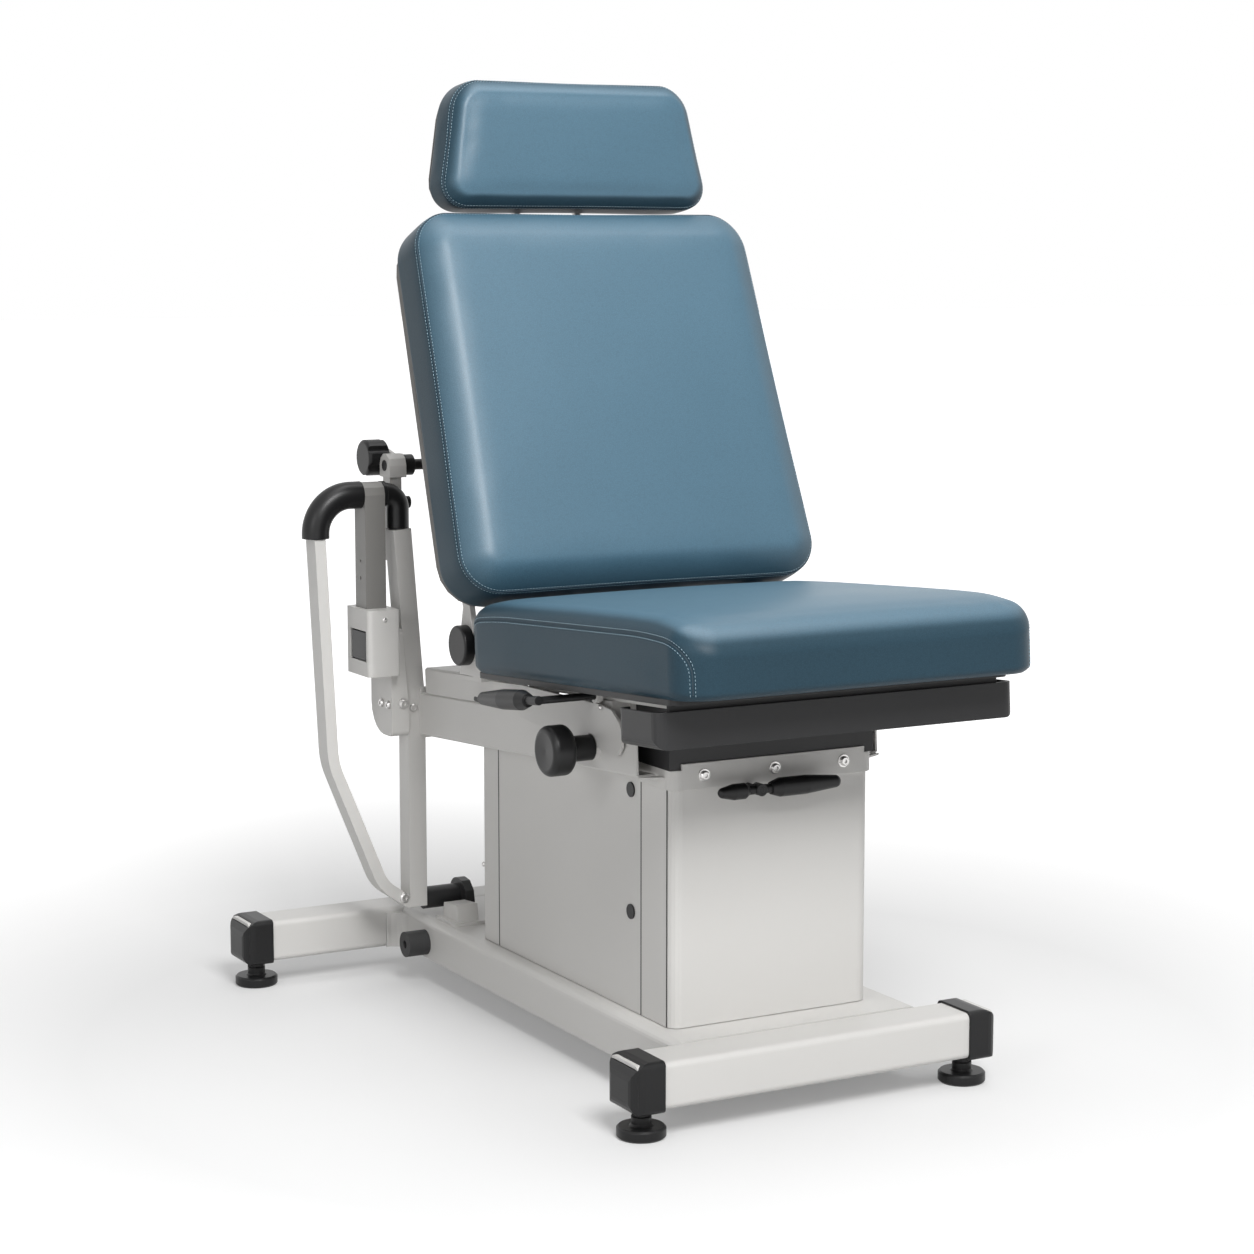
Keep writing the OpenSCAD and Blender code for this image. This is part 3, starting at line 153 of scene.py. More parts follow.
def leather_grain():
    """Group: upholstery vinyl as warped cells with valleys between them. Pebble is 0 in the valleys, and the
    vinyl takes it as the mask of its painted shade there.
    """
    tree, given, results = new_group(
        "leather grain", [("Scale", "Float", 420.0), ("Warp", "Float", 0.0022)],
        [("Height", "Float"), ("Pebble", "Float")])
    place = object_place(tree)
    warp = noise(tree, place, 160.0, 2.0)["Color"]
    centred = vector_maths(tree, "SUBTRACT", {0: warp, 1: (0.5, 0.5, 0.5)})
    pushed = vector_maths(tree, "SCALE", {0: centred, "Scale": given["Warp"]})
    moved = vector_maths(tree, "ADD", {0: place, 1: pushed})
    edges = add(tree, "ShaderNodeTexVoronoi", {"Vector": moved, "Scale": given["Scale"]},
                feature="DISTANCE_TO_EDGE").outputs["Distance"]
    pebble = ramp(tree, edges, 0.0, 0.22, 0.0, 1.0)
    wide = noise(tree, place, 70.0, 4.0)["Fac"]
    mixed = add(tree, "ShaderNodeMix", {0: 0.25, 2: pebble, 3: wide})
    set_inputs(tree, results, {"Height": mixed.outputs[0], "Pebble": pebble})
    return tree


def edge_mask():
    """Group: up to 1 on edges, broken up by noise, from how far rounding an edge turns its normal."""
    tree, given, results = new_group(
        "edge mask", [("Radius", "Float", 0.0015), ("Break Up", "Float", 60.0)], [("Mask", "Float")])
    rounded = add(tree, "ShaderNodeBevel", {"Radius": given["Radius"]}, samples=BEVEL_SAMPLES).outputs[0]
    flat = add(tree, "ShaderNodeNewGeometry").outputs["Normal"]
    alike = vector_maths(tree, "DOT_PRODUCT", {0: rounded, 1: flat}, "Value")
    turned = ramp(tree, alike, 0.99, 0.75, 0.0, 1.0)
    patches = noise(tree, object_place(tree), given["Break Up"], 4.0)["Fac"]
    broken = ramp(tree, patches, 0.45, 0.62, 0.0, 1.0)
    set_inputs(tree, results, {"Mask": maths(tree, "MULTIPLY", turned, broken)})
    return tree


GROUPS = {}


def group(maker, tree, inputs):
    """Outputs of a shared node group placed in a material; the group itself is built once."""
    if maker not in GROUPS:
        GROUPS[maker] = maker()
    node = tree.nodes.new("ShaderNodeGroup")
    node.node_tree = GROUPS[maker]
    set_inputs(tree, node, inputs)
    return node.outputs


def rgba(colour):
    """A colour property as the four numbers that a colour socket takes."""
    return (*tuple(colour)[:3], 1.0)


def blank_material(name):
    """A material with a Principled shader on its output; returns it, its tree and the shader."""
    mat = bpy.data.materials.new(name)
    mat.use_nodes = True
    tree = mat.node_tree
    return mat, tree, tree.nodes["Principled BSDF"]


def bump(tree, shader, height, strength, distance, normal=None):
    """Height drives the shader's normal, on top of another normal where one is given."""
    inputs = {"Height": height, "Strength": strength, "Distance": distance}
    if normal is not None:
        inputs["Normal"] = normal
    set_inputs(tree, shader, {"Normal": add(tree, "ShaderNodeBump", inputs).outputs["Normal"]})


def hard_material(name, colour, roughness, drift, grain, edge, worn, metallic=0.0, gloss=0.5):
    """Paint, plastic or metal. drift is (colour amount, patch scale, roughness spread), grain is (cell scale,
    noise scale, mix, bump strength, bump distance), edge is the radius of the edges in metres, worn is the
    colour of a worn edge, and gloss is the specular level."""
    mat, tree, shader = blank_material(name)
    amount, size, spread = drift
    cell_scale, noise_scale, mix, strength, distance = grain
    vary = group(soft_variation, tree, {"Color": rgba(colour), "Amount": amount, "Size": size,
                                        "Roughness": roughness, "Spread": spread})
    mask = group(edge_mask, tree, {"Radius": edge})["Mask"]
    mixed = add(tree, "ShaderNodeMix", {0: mask, 6: vary["Color"], 7: rgba(worn)}, data_type="RGBA")
    set_inputs(tree, shader, {"Base Color": mixed.outputs[2], "Roughness": vary["Roughness"],
                              "Metallic": metallic, "Specular IOR Level": gloss})
    skin = group(fine_grain, tree, {"Cell Scale": cell_scale, "Noise Scale": noise_scale, "Mix": mix})
    rounded = add(tree, "ShaderNodeBevel", {"Radius": edge}, samples=BEVEL_SAMPLES)
    bump(tree, shader, skin["Height"], strength, distance, rounded.outputs[0])
    return mat


def vinyl_material(name, colour):
    """Upholstery vinyl: pebbled grain with painted shade in its valleys, a broad drift in colour and a soft
    sheen.
    It has painted shade, darker colour and a lower specular level, where the mesh attribute painted_light is
    low, on the sides and under the face."""
    mat, tree, shader = blank_material(name)
    vary = group(soft_variation, tree, {"Color": rgba(colour), "Amount": 0.12, "Size": 5.0, "Roughness": 0.4,
                                        "Spread": 0.1})
    grain = group(leather_grain, tree, {})
    painted_light = add(tree, "ShaderNodeAttribute", attribute_name="painted_light").outputs["Fac"]
    # Painted shade in the grain's valleys: the colour falls to 0.82 there
    valley_shade = ramp(tree, grain["Pebble"], 0.0, 1.0, 0.82, 1.0)
    # Painted shade: the colour falls to 0.4 where painted_light is low, on the sides and underside
    shaded = maths(tree, "MULTIPLY", valley_shade, ramp(tree, painted_light, 0.0, 1.0, 0.4, 1.0))
    set_inputs(tree, shader, {
        "Base Color": vector_maths(tree, "SCALE", {0: vary["Color"], "Scale": shaded}),
        "Roughness": vary["Roughness"],
        # Painted shade: a lower specular level where painted_light is low
        "Specular IOR Level": ramp(tree, painted_light, 0.0, 1.0, 0.15, 0.55),
        "Sheen Weight": 0.03,
        "Sheen Roughness": 0.45,
    })
    bump(tree, shader, grain["Height"], strength=0.35, distance=0.00018)
    return mat


def thread_material(name, colour):
    """Sewing thread: fine twist lines in height, with painted shade in the twist's grooves and a painted
    highlight on its ridges.
    """
    mat, tree, shader = blank_material(name)
    twist = add(tree, "ShaderNodeTexWave", {"Vector": object_place(tree), "Scale": 900.0, "Distortion": 2.0})
    # Painted shade and highlight: the twist's low parts are darker and its high parts lighter
    shade = ramp(tree, twist.outputs["Fac"], 0.0, 1.0, 0.8, 1.1)
    toned = vector_maths(tree, "SCALE", {0: tuple(colour), "Scale": shade})
    set_inputs(tree, shader, {"Base Color": toned, "Roughness": 0.7})
    bump(tree, shader, twist.outputs["Fac"], strength=0.5, distance=0.0001)
    return mat


def seen_directly(tree):
    """1 for rays of the camera, of reflections and through glass, 0 for the rays that light other things."""
    seen = add(tree, "ShaderNodeLightPath").outputs
    direct = maths(tree, "ADD", seen["Is Camera Ray"], seen["Is Glossy Ray"])
    return maths(tree, "MINIMUM", maths(tree, "ADD", direct, seen["Is Transmission Ray"]), 1.0)


# Mesh helpers
def grid_faces(rows, columns, wrap_rows=False, wrap_columns=True):
    """Quads of a rows x columns grid of points, closed round either way."""
    i = np.arange(rows if wrap_rows else rows - 1)
    j = np.arange(columns if wrap_columns else columns - 1)
    a, b = np.meshgrid(i, j, indexing="ij")
    b2 = (b + 1) % columns
    row = a * columns
    next_row = (a + 1) % rows * columns
    return np.stack([row + b, row + b2, next_row + b2, next_row + b], -1).reshape(-1, 4)


def make_object(name, verts, faces, mat=None):
    """A smooth mesh object at the origin from arrays of points and quads or lists of polygons."""
    mesh = bpy.data.meshes.new(name)
    mesh.from_pydata(np.asarray(verts, float).tolist(), [], [list(map(int, f)) for f in faces])
    mesh.validate()
    obj = bpy.data.objects.new(name, mesh)
    bpy.context.scene.collection.objects.link(obj)
    if mat is not None:
        mesh.materials.append(mat)
    mesh.polygons.foreach_set("use_smooth", np.full(len(mesh.polygons), True))
    mesh.update()
    return obj


def vertex_values(obj, field):
    """Three numbers of each vertex of an object as an array."""
    flat = np.zeros(len(obj.data.vertices) * 3)
    obj.data.vertices.foreach_get(field, flat)
    return flat.reshape(-1, 3)


def points_of(obj):
    """An object's vertices as an array."""
    return vertex_values(obj, "co")


def set_points(obj, points):
    """Puts an array back into an object's vertices."""
    obj.data.vertices.foreach_set("co", np.ascontiguousarray(points, np.float32).ravel())
    obj.data.update()


def normals_of(obj):
    """Outward normals of an object's vertices."""
    return vertex_values(obj, "normal")


def only(obj):
    """Makes obj the one selected and active object."""
    bpy.ops.object.select_all(action="DESELECT")
    obj.select_set(True)
    bpy.context.view_layer.objects.active = obj


def apply_modifiers(obj):
    """Applies every modifier in order."""
    only(obj)
    for modifier in list(obj.modifiers):
        bpy.ops.object.modifier_apply(modifier=modifier.name)


def base_frame(node):
    """Local frame of a cushion node: its flat base is the plane z = 0, x runs across, y along, z to its face.
    The base's normal is that of the node's largest triangle."""
    mesh = frame["nodes"][node].data
    mesh.calc_loop_triangles()
    largest = max(mesh.loop_triangles, key=lambda t: t.area)
    up = -np.array(largest.normal)
    across = np.array([1.0, 0.0, 0.0])
    along = np.cross(up, across)
    along /= np.linalg.norm(along)
    axes = np.stack([across, along, up])
    local = points_of(frame["nodes"][node]) @ axes.T
    low, high = local.min(0), local.max(0)
    origin = np.array([0.0, (low[1] + high[1]) / 2, low[2]])
    return {"axes": axes, "origin": origin @ axes, "size": high - low}


def to_world(local, place):
    """Local points of a cushion's frame in the frame of the scene."""
    return local @ place["axes"] + place["origin"]


class Outline:
    """Rounded rectangle that narrows along y and whose sides are drawn in towards their middle. Arc lengths
    are those of the plain rounded rectangle, from the middle of its near right corner, right side first."""

    def __init__(self, half_x, half_y, radius, taper, draw_in):
        self.hx = half_x
        self.hy = half_y
        self.r = radius
        self.taper = taper
        self.draw_in = draw_in
        sx, sy = 2 * (half_x - radius), 2 * (half_y - radius)
        quarter = math.pi * radius / 2
        self.parts = [quarter / 2, sy, quarter, sx, quarter, sy, quarter, sx, quarter / 2]
        self.total = sum(self.parts)
        self.edges = np.concatenate([[0], np.cumsum(self.parts)])

    def at(self, a):
        """Plan points and outward normals at arc lengths a. Parts with an even number k are corner arcs."""
        a = np.mod(np.asarray(a, float), self.total)
        mx, my, r = self.hx - self.r, self.hy - self.r, self.r
        centres = np.array([[mx, -my], [mx, my], [-mx, my], [-mx, -my]])
        k = np.clip(np.searchsorted(self.edges, a, side="right") - 1, 0, 8)
        t = a - self.edges[k]
        share = t / np.array(self.parts)[k]
        corner = (k % 2) == 0
        index = ((k + 1) // 2) % 4
        turn = np.where(k % 8 == 0, math.pi / 4, math.pi / 2) * share
        start = np.array([-math.pi / 4, 0.0, math.pi / 2, math.pi, -math.pi / 2])
        angle = start[(k + 1) // 2] + turn
        normal = np.stack([np.cos(angle), np.sin(angle)], -1)
        on_arc = centres[index] + r * normal
        side = np.clip((k - 1) // 2, 0, 3)
        side_normal = np.array([[1, 0], [0, 1], [-1, 0], [0, -1]])[side]
        ahead = np.array([[0, 1], [-1, 0], [0, -1], [1, 0]])[side]
        first = centres[side] + r * side_normal
        pull = self.draw_in * np.sin(math.pi * share) ** 2
        on_side = first + ahead * t[:, None] - side_normal * pull[:, None]
        place = np.where(corner[:, None], on_arc, on_side)
        normal = np.where(corner[:, None], normal, side_normal)
        place = place * np.stack([1 - self.taper * place[:, 1] / (2 * self.hy), np.ones(len(place))], -1)
        return place, normal

    def depth(self, x, y):
        """Distance of a plan point to the nearest edge, inside positive."""
        x = np.abs(x) / (1 - self.taper * y / (2 * self.hy))
        qx, qy = x - (self.hx - self.r), np.abs(y) - (self.hy - self.r)
        outside = np.hypot(np.maximum(qx, 0), np.maximum(qy, 0))
        return self.r - outside - np.minimum(np.maximum(qx, qy), 0)


# Cushions
CORNER_POINTS = 44
SIDE_POINTS = 46
FILL_PRESSURE = 4.0
FILL_FRAMES = 20
FILL_QUALITY = 6


def ring_lengths(outline):
    """Arc lengths of one ring's points: close together round the corners, wider along the sides."""
    half = CORNER_POINTS // 2
    counts = [half, *[SIDE_POINTS, CORNER_POINTS] * 3, SIDE_POINTS, half]
    spans = zip(outline.edges[:-1], outline.edges[1:], counts)
    return np.concatenate([low + (high - low) * np.arange(n) / n for low, high, n in spans])


def closed_rings(rings):
    """Points and faces of nested rings, from the middle of the base to the middle of the top.
    Each end is closed by a fan to the mean of its last ring."""
    rows, columns = rings.shape[:2]
    verts = np.concatenate([rings.reshape(-1, 3), rings[0].mean(0)[None], rings[-1].mean(0)[None]])
    j = np.arange(columns)
    ahead = (j + 1) % columns
    low = np.full(columns, rows * columns)
    last = (rows - 1) * columns
    fans = [np.stack([low, ahead, j], -1), np.stack([low + 1, last + j, last + ahead], -1)]
    return verts, grid_faces(rows, columns).tolist() + np.concatenate(fans).tolist()


def base_rows(edge):
    """Rings that fill the flat base: the edge ring shrunk towards the middle."""
    return np.array([0.3, 0.6, 0.85, 0.96])[:, None, None] * edge[None]


def dome(points, outline):
    """Product of two parabolas that are 1 in the middle and 0 at the outline's half width and half length."""
    return (1 - (points[..., 0] / outline.hx) ** 2) * (1 - (points[..., 1] / outline.hy) ** 2)


def fall(y, outline, shape):
    """Share of the height that is left at y: it falls by a square law towards the front and the rear."""
    near = np.clip((-y - outline.hy + shape["fall_len"]) / shape["fall_len"], 0, None)
    far = np.clip((y - outline.hy + shape["fall_len"]) / shape["fall_len"], 0, None)
    return 1 - shape["fall_front"] * near ** 2 - shape["fall_rear"] * far ** 2


def boxed_rings(outline, shape):
    """Cushion with a side wall and a sewn-on face panel. The wall rises to the seam with a rounded foot and
    leans in just under the seam. Inside the seam the panel's height is the seam height, plus the rise times
    1 - (1 - depth / border) ** 1.7 over the sloped border, plus a crown of two parabolas. The seam itself is
    the wall's last ring."""
    wall_rows = 30
    foot_share = 0.16
    panel_rows = 50
    plan, normal = outline.at(ring_lengths(outline))
    share = 1 - (1 - np.linspace(0, 1, wall_rows)) ** 1.3
    foot = np.clip(1 - share / foot_share, 0, 1) ** 2
    inset = shape["foot"] * foot + shape["lean"] * share ** 6
    wall = plan[None] - normal[None] * inset[:, None, None]
    height = np.broadcast_to(shape["seam"] * share[:, None, None], (*wall.shape[:2], 1))
    wall = np.concatenate([wall, height], -1)
    shrink = 1 - np.linspace(0, 1, panel_rows)[1:-1] ** 1.6
    panel = shrink[:, None, None] * wall[-1][None, :, :2]
    depth = np.clip(outline.depth(panel[..., 0], panel[..., 1]) - shape["lean"], 0, None)
    slope = 1 - (1 - np.clip(depth / shape["border"], 0, 1)) ** 1.7
    height = shape["seam"] + shape["rise"] * slope + shape["crown"] * dome(panel, outline) * slope
    panel = np.concatenate([panel, height[..., None]], -1)
    return np.concatenate([base_rows(wall[0]), wall, panel]), wall[-1]


def waterfall_rings(outline, shape):
    """Cushion whose cover wraps over a rounded edge. The edge is a quarter circle whose radius grows from the
    side value to the front value as the outline turns to the front. Inside it the top has a crown of two
    parabolas, and the whole height falls by a square law towards the front and the rear."""
    wall_rows = 22
    foot_share = 0.18
    edge_rows = 26
    panel_rows = 36
    plan, normal = outline.at(ring_lengths(outline))
    front = np.clip((-normal[:, 1] - 0.15) / 0.85, 0, 1)
    wider = shape["front_radius"] - shape["side_radius"]
    radius = shape["side_radius"] + wider * front ** 2 * (3 - 2 * front)
    share = np.linspace(0, 1, wall_rows)
    foot = shape["foot"] * np.clip(1 - share / foot_share, 0, 1) ** 2
    wall = plan[None] - normal[None] * foot[:, None, None]
    wall = np.concatenate([wall, (share[:, None] * (shape["top"] - radius)[None])[..., None]], -1)
    turn = np.linspace(0, math.pi / 2, edge_rows)[1:, None]
    edge = plan[None] - normal[None] * (radius * (1 - np.cos(turn)))[..., None]
    edge = np.concatenate([edge, (shape["top"] - radius + radius * np.sin(turn))[..., None]], -1)
    shrink = 1 - np.linspace(0, 1, panel_rows)[1:-1] ** 1.3
    panel = shrink[:, None, None] * edge[-1][None]
    panel[..., 2] = shape["top"]
    base = base_rows(wall[0])
    rings = np.concatenate([base, wall, edge, panel])
    lift = np.concatenate([np.zeros(len(base) + len(wall)), np.sin(turn[:, 0]), np.ones(len(panel))])
    rings[..., 2] += shape["crown"] * dome(rings, outline) * lift[:, None]
    rings[..., 2] *= fall(rings[..., 1], outline, shape)
    return rings


def blocks(count, size=600):
    """Slices that cut a long array into blocks."""
    return [slice(start, min(start + size, count)) for start in range(0, count, size)]


def squared_distances(points, sources):
    """Squared distance of every point to every source."""
    return (points ** 2).sum(1)[:, None] + (sources ** 2).sum(1)[None] - 2 * points @ sources.T


def carried(points, sources, shifts, reach):
    """Shift of each point: the sources' shifts averaged with weights exp(-distance squared / (2 reach
    squared)), each a little above 0 so that their sum never is 0."""
    least = 1e-12
    result = np.zeros_like(points)
    for part in blocks(len(points)):
        weight = np.exp(-squared_distances(points[part], sources) / (2 * reach ** 2)) + least
        result[part] = weight @ shifts / weight.sum(1)[:, None]
    return result


def nearest_distance(points, path):
    """Distance of each point to the nearest point of a path."""
    found = [squared_distances(points[part], path).min(1) for part in blocks(len(points))]
    return np.sqrt(np.clip(np.concatenate(found), 0, None))


def filled(verts, faces, voxel, cap):
    """Shape of the cushion after its cover is blown up from inside: a remeshed copy is run as cloth under
    pressure with its base held. Each point keeps the part of its move that goes outward, up to cap, and that
    swell is carried over to verts from every third point of the copy."""
    copy = make_object("cushion_fill", verts, faces)
    only(copy)
    remesh = copy.modifiers.new("voxels", "REMESH")
    remesh.mode = "VOXEL"
    remesh.voxel_size = voxel
    apply_modifiers(copy)
    before = points_of(copy)
    outward = normals_of(copy)
    held = copy.vertex_groups.new(name="held")
    held.add(np.nonzero(before[:, 2] < voxel)[0].tolist(), 1.0, "REPLACE")
    cloth = copy.modifiers.new("cloth", "CLOTH")
    cloth.settings.quality = FILL_QUALITY
    cloth.settings.use_pressure = True
    cloth.settings.uniform_pressure_force = FILL_PRESSURE
    cloth.settings.vertex_group_mass = held.name
    cloth.settings.effector_weights.gravity = 0
    cloth.point_cache.frame_start = 1
    cloth.point_cache.frame_end = FILL_FRAMES
    scene = bpy.context.scene
    for step in range(1, FILL_FRAMES + 1):
        scene.frame_set(step)
    apply_modifiers(copy)
    push = np.clip(((points_of(copy) - before) * outward).sum(1), 0, cap)
    scene.frame_set(1)
    bpy.data.objects.remove(copy)
    shift = outward * push[:, None]
    return verts + carried(verts, before[::3], shift[::3], 2.2 * voxel)


def surface_of(obj):
    """Tree of an object's surface, for nearest points."""
    return BVHTree.FromPolygons(points_of(obj).tolist(), [list(p.vertices) for p in obj.data.polygons])


def on_surface(tree, points):
    """Nearest surface points and their normals."""
    hits = [tree.find_nearest(Vector(p)) for p in points]
    return np.array([h[0] for h in hits]), np.array([h[1] for h in hits])


def smoothed(values, rounds, closed):
    """Averages each row with its neighbours along a path."""
    for _ in range(rounds):
        ahead, behind = np.roll(values, -1, 0), np.roll(values, 1, 0)
        if not closed:
            ahead[-1], behind[0] = values[-1], values[0]
        values = (2 * values + ahead + behind) / 4
    return values


def tangents(path, closed):
    """Unit direction along a path."""
    if closed:
        along = np.roll(path, -1, 0) - np.roll(path, 1, 0)
    else:
        along = np.gradient(path, axis=0)
    return along / np.linalg.norm(along, axis=1)[:, None]


def resampled(path, spacing, closed):
    """The path at even steps of about the spacing, without the end point where it is closed."""
    full = np.concatenate([path, path[:1]]) if closed else path
    run = np.concatenate([[0], np.cumsum(np.linalg.norm(np.diff(full, axis=0), axis=1))])
    count = max(4, int(round(run[-1] / spacing)))
    steps = np.linspace(0, run[-1], count + (1 if closed else 0), endpoint=True)[:count]
    return np.stack([np.interp(steps, run, full[:, k]) for k in range(3)], -1)


def tube(name, path, radius, sides, closed, mat):
    """Round tube: circles square to a path, each turned by where the path's mean point is."""
    along = tangents(path, closed)
    out = path - path.mean(0)
    first = np.cross(along, out)
    first /= np.linalg.norm(first, axis=1)[:, None]
    second = np.cross(along, first)
    angle = 2 * math.pi * np.arange(sides) / sides
    circle = np.cos(angle)[:, None] * first[:, None] + np.sin(angle)[:, None] * second[:, None]
    verts = path[:, None] + radius * circle
    faces = grid_faces(len(path), sides, wrap_rows=closed).tolist()
    if not closed:
        last = (len(path) - 1) * sides
        faces += [list(range(sides))[::-1], list(range(last, last + sides))]
    return make_object(name, verts.reshape(-1, 3), faces, mat)


def stitch_row(path, normal, closed, length, radius):
    """Points and faces of one row of stitches: each is a thin spindle of three rings laid along the path,
    arched a little above the surface, with both tips under it."""
    along = tangents(path, closed)
    side = np.cross(normal, along)
    sides = 5
    share = np.array([-0.62, 0.0, 0.62])[:, None]
    width = np.array([0.85, 1.0, 0.85])[:, None]
    arch = np.array([0.2, 0.7, 0.2])[:, None] * radius
    tip_depth = 1.2 * radius
    angle = 2 * math.pi * np.arange(sides) / sides
    ring_side = np.cos(angle)[None] * width * radius
    ring_up = np.sin(angle)[None] * width * radius + arch
    ring_along = np.broadcast_to(share * length / 2, ring_side.shape)
    template = np.stack([ring_along, ring_side, ring_up], -1).reshape(-1, 3)
    template = np.concatenate([template, [[-length / 2, 0, -tip_depth], [length / 2, 0, -tip_depth]]])
    basis = np.stack([along, side, normal], 1)
    verts = path[:, None] + np.einsum("pk,nkj->npj", template, basis)
    i = np.arange(sides)
    ahead = (i + 1) % sides
    quads = grid_faces(3, sides)
    start = np.stack([np.full(sides, 3 * sides), ahead, i], -1)
    end = np.stack([np.full(sides, 3 * sides + 1), 2 * sides + i, 2 * sides + ahead], -1)
    fans = np.concatenate([start, end])
    step = len(template) * np.arange(len(path))[:, None, None]
    faces = (quads[None] + step).reshape(-1, 4).tolist() + (fans[None] + step).reshape(-1, 3).tolist()
    return verts.reshape(-1, 3), faces


def joined(parts):
    """Points and polygons of several parts as those of one mesh."""
    verts = []
    faces = []
    count = 0
    for points, polygons in parts:
        verts.append(points)
        faces += [[index + count for index in polygon] for polygon in polygons]
        count += len(points)
    return np.concatenate(verts), faces


# Settings
def number(label, note, value, **limits):
    """A number property, 0 or more where limits don't say otherwise."""
    return bpy.props.FloatProperty(name=label, description=note, default=value, **{"min": 0.0, **limits})


def length(label, note, value):
    """A length property in metres."""
    return number(label, note, value, unit="LENGTH", precision=4)


def spot(label, note, value):
    """A property for a place in metres."""
    return bpy.props.FloatVectorProperty(name=label, description=note, default=value, size=3, subtype="XYZ",
                                         unit="LENGTH")


def colour(label, note, value):
    """A colour property."""
    return bpy.props.FloatVectorProperty(name=label, description=note, default=value, size=3, subtype="COLOR",
                                         min=0.0, max=1.0)


class ChairUpholstery(bpy.types.PropertyGroup):
    """Cover and sewing of the three cushions."""
    vinyl: colour("Vinyl", "Colour of the cover", (0.058, 0.134, 0.192))
    thread: colour("Thread", "Colour of the stitches", (0.33, 0.47, 0.55))
    # Painted shade: the dark colour of the cords in the bottom of the seams
    seam_shade: colour("Seam", "Colour in the bottom of a seam", (0.018, 0.04, 0.058))
    swell: length("Swell", "Furthest that the filling pushes the cover out", 4 * MM)
    slack: length("Slack", "How much smaller the cushion starts before it is filled", 1 * MM)
    seam_depth: length("Seam Depth", "Depth of the groove along a seam", 1.6 * MM)
    seam_width: length("Seam Width", "Half width of the groove along a seam", 2.2 * MM)
    stitch_gap: length("Stitch Distance", "Distance of a row of stitches from its seam", 3.4 * MM)
    stitch_pitch: length("Stitch Pitch", "Distance from one stitch to the next", 4.6 * MM)
    stitch_length: length("Stitch Length", "Length of one stitch", 3.3 * MM)
    thread_radius: length("Thread Radius", "Radius of the sewing thread", 0.42 * MM)


class ChairFinishes(bpy.types.PropertyGroup):
    """Colours of the hard parts, and how their small trim is shaded."""
    powder: colour("Powder Coat", "Pale grey paint of base, covers, rails and loop", (0.66, 0.65, 0.63))
    dark: colour("Dark Paint", "Charcoal paint of tray and hidden brackets", (0.024, 0.024, 0.025))
    plastic: colour("Black Plastic", "Knobs, caps, levers, grips and feet", (0.01, 0.01, 0.0105))
    rubber: colour("Rubber", "Side buffer and joint strips", (0.036, 0.036, 0.037))
    zinc: colour("Zinc", "Plated screws, pins and rods", (0.62, 0.61, 0.60))
    steel: colour("Grey Paint", "Darker grey of the loop's post", (0.23, 0.225, 0.215))
    shell: colour("Shell", "Grey-brown moulding behind the cushions", (0.13, 0.125, 0.12))
    crease: number("Crease", "Angle from which small trim has a hard edge", math.radians(40), subtype="ANGLE")


class ChairStage(bpy.types.PropertyGroup):
    """Floor, light and camera."""
    floor: colour("Floor", "Colour of the floor", (0.62, 0.62, 0.62))
    lift: number("Floor Lift", "Extra white that the camera sees on the floor", 0.22, max=1.0,
                 subtype="FACTOR")
    near: length("White From", "Distance from the chair at which the floor starts to turn white", 0.8)
    far: length("White To", "Distance from the chair at which the floor is all white", 2.4)
    ambient: number("Ambient", "Strength of the even light from all round", 0.16)
    key: number("Key Light", "Power of the front lamp in watts", 150.0)
    side: number("Side Light", "Power of the left lamp in watts", 20.0)
    top: number("Top Light", "Power of the overhead lamp in watts", 50.0)
    lens: number("Lens", "Focal length in millimetres on a 36 mm sensor", 79.33, min=10.0)
    eye: spot("Camera", "Place of the camera", (-1.8661, -3.3137, 1.0935))
    aim: spot("Target", "Point that the camera looks at", (-0.0021, 0.0711, 0.5688))


# Finishes of the CAD nodes
OWN_FINISHES = {"loop_post": "loop_post", "dock_bracket": "powder_grey", "foot_nuts": "black_plastic"}
MATERIALS = {}


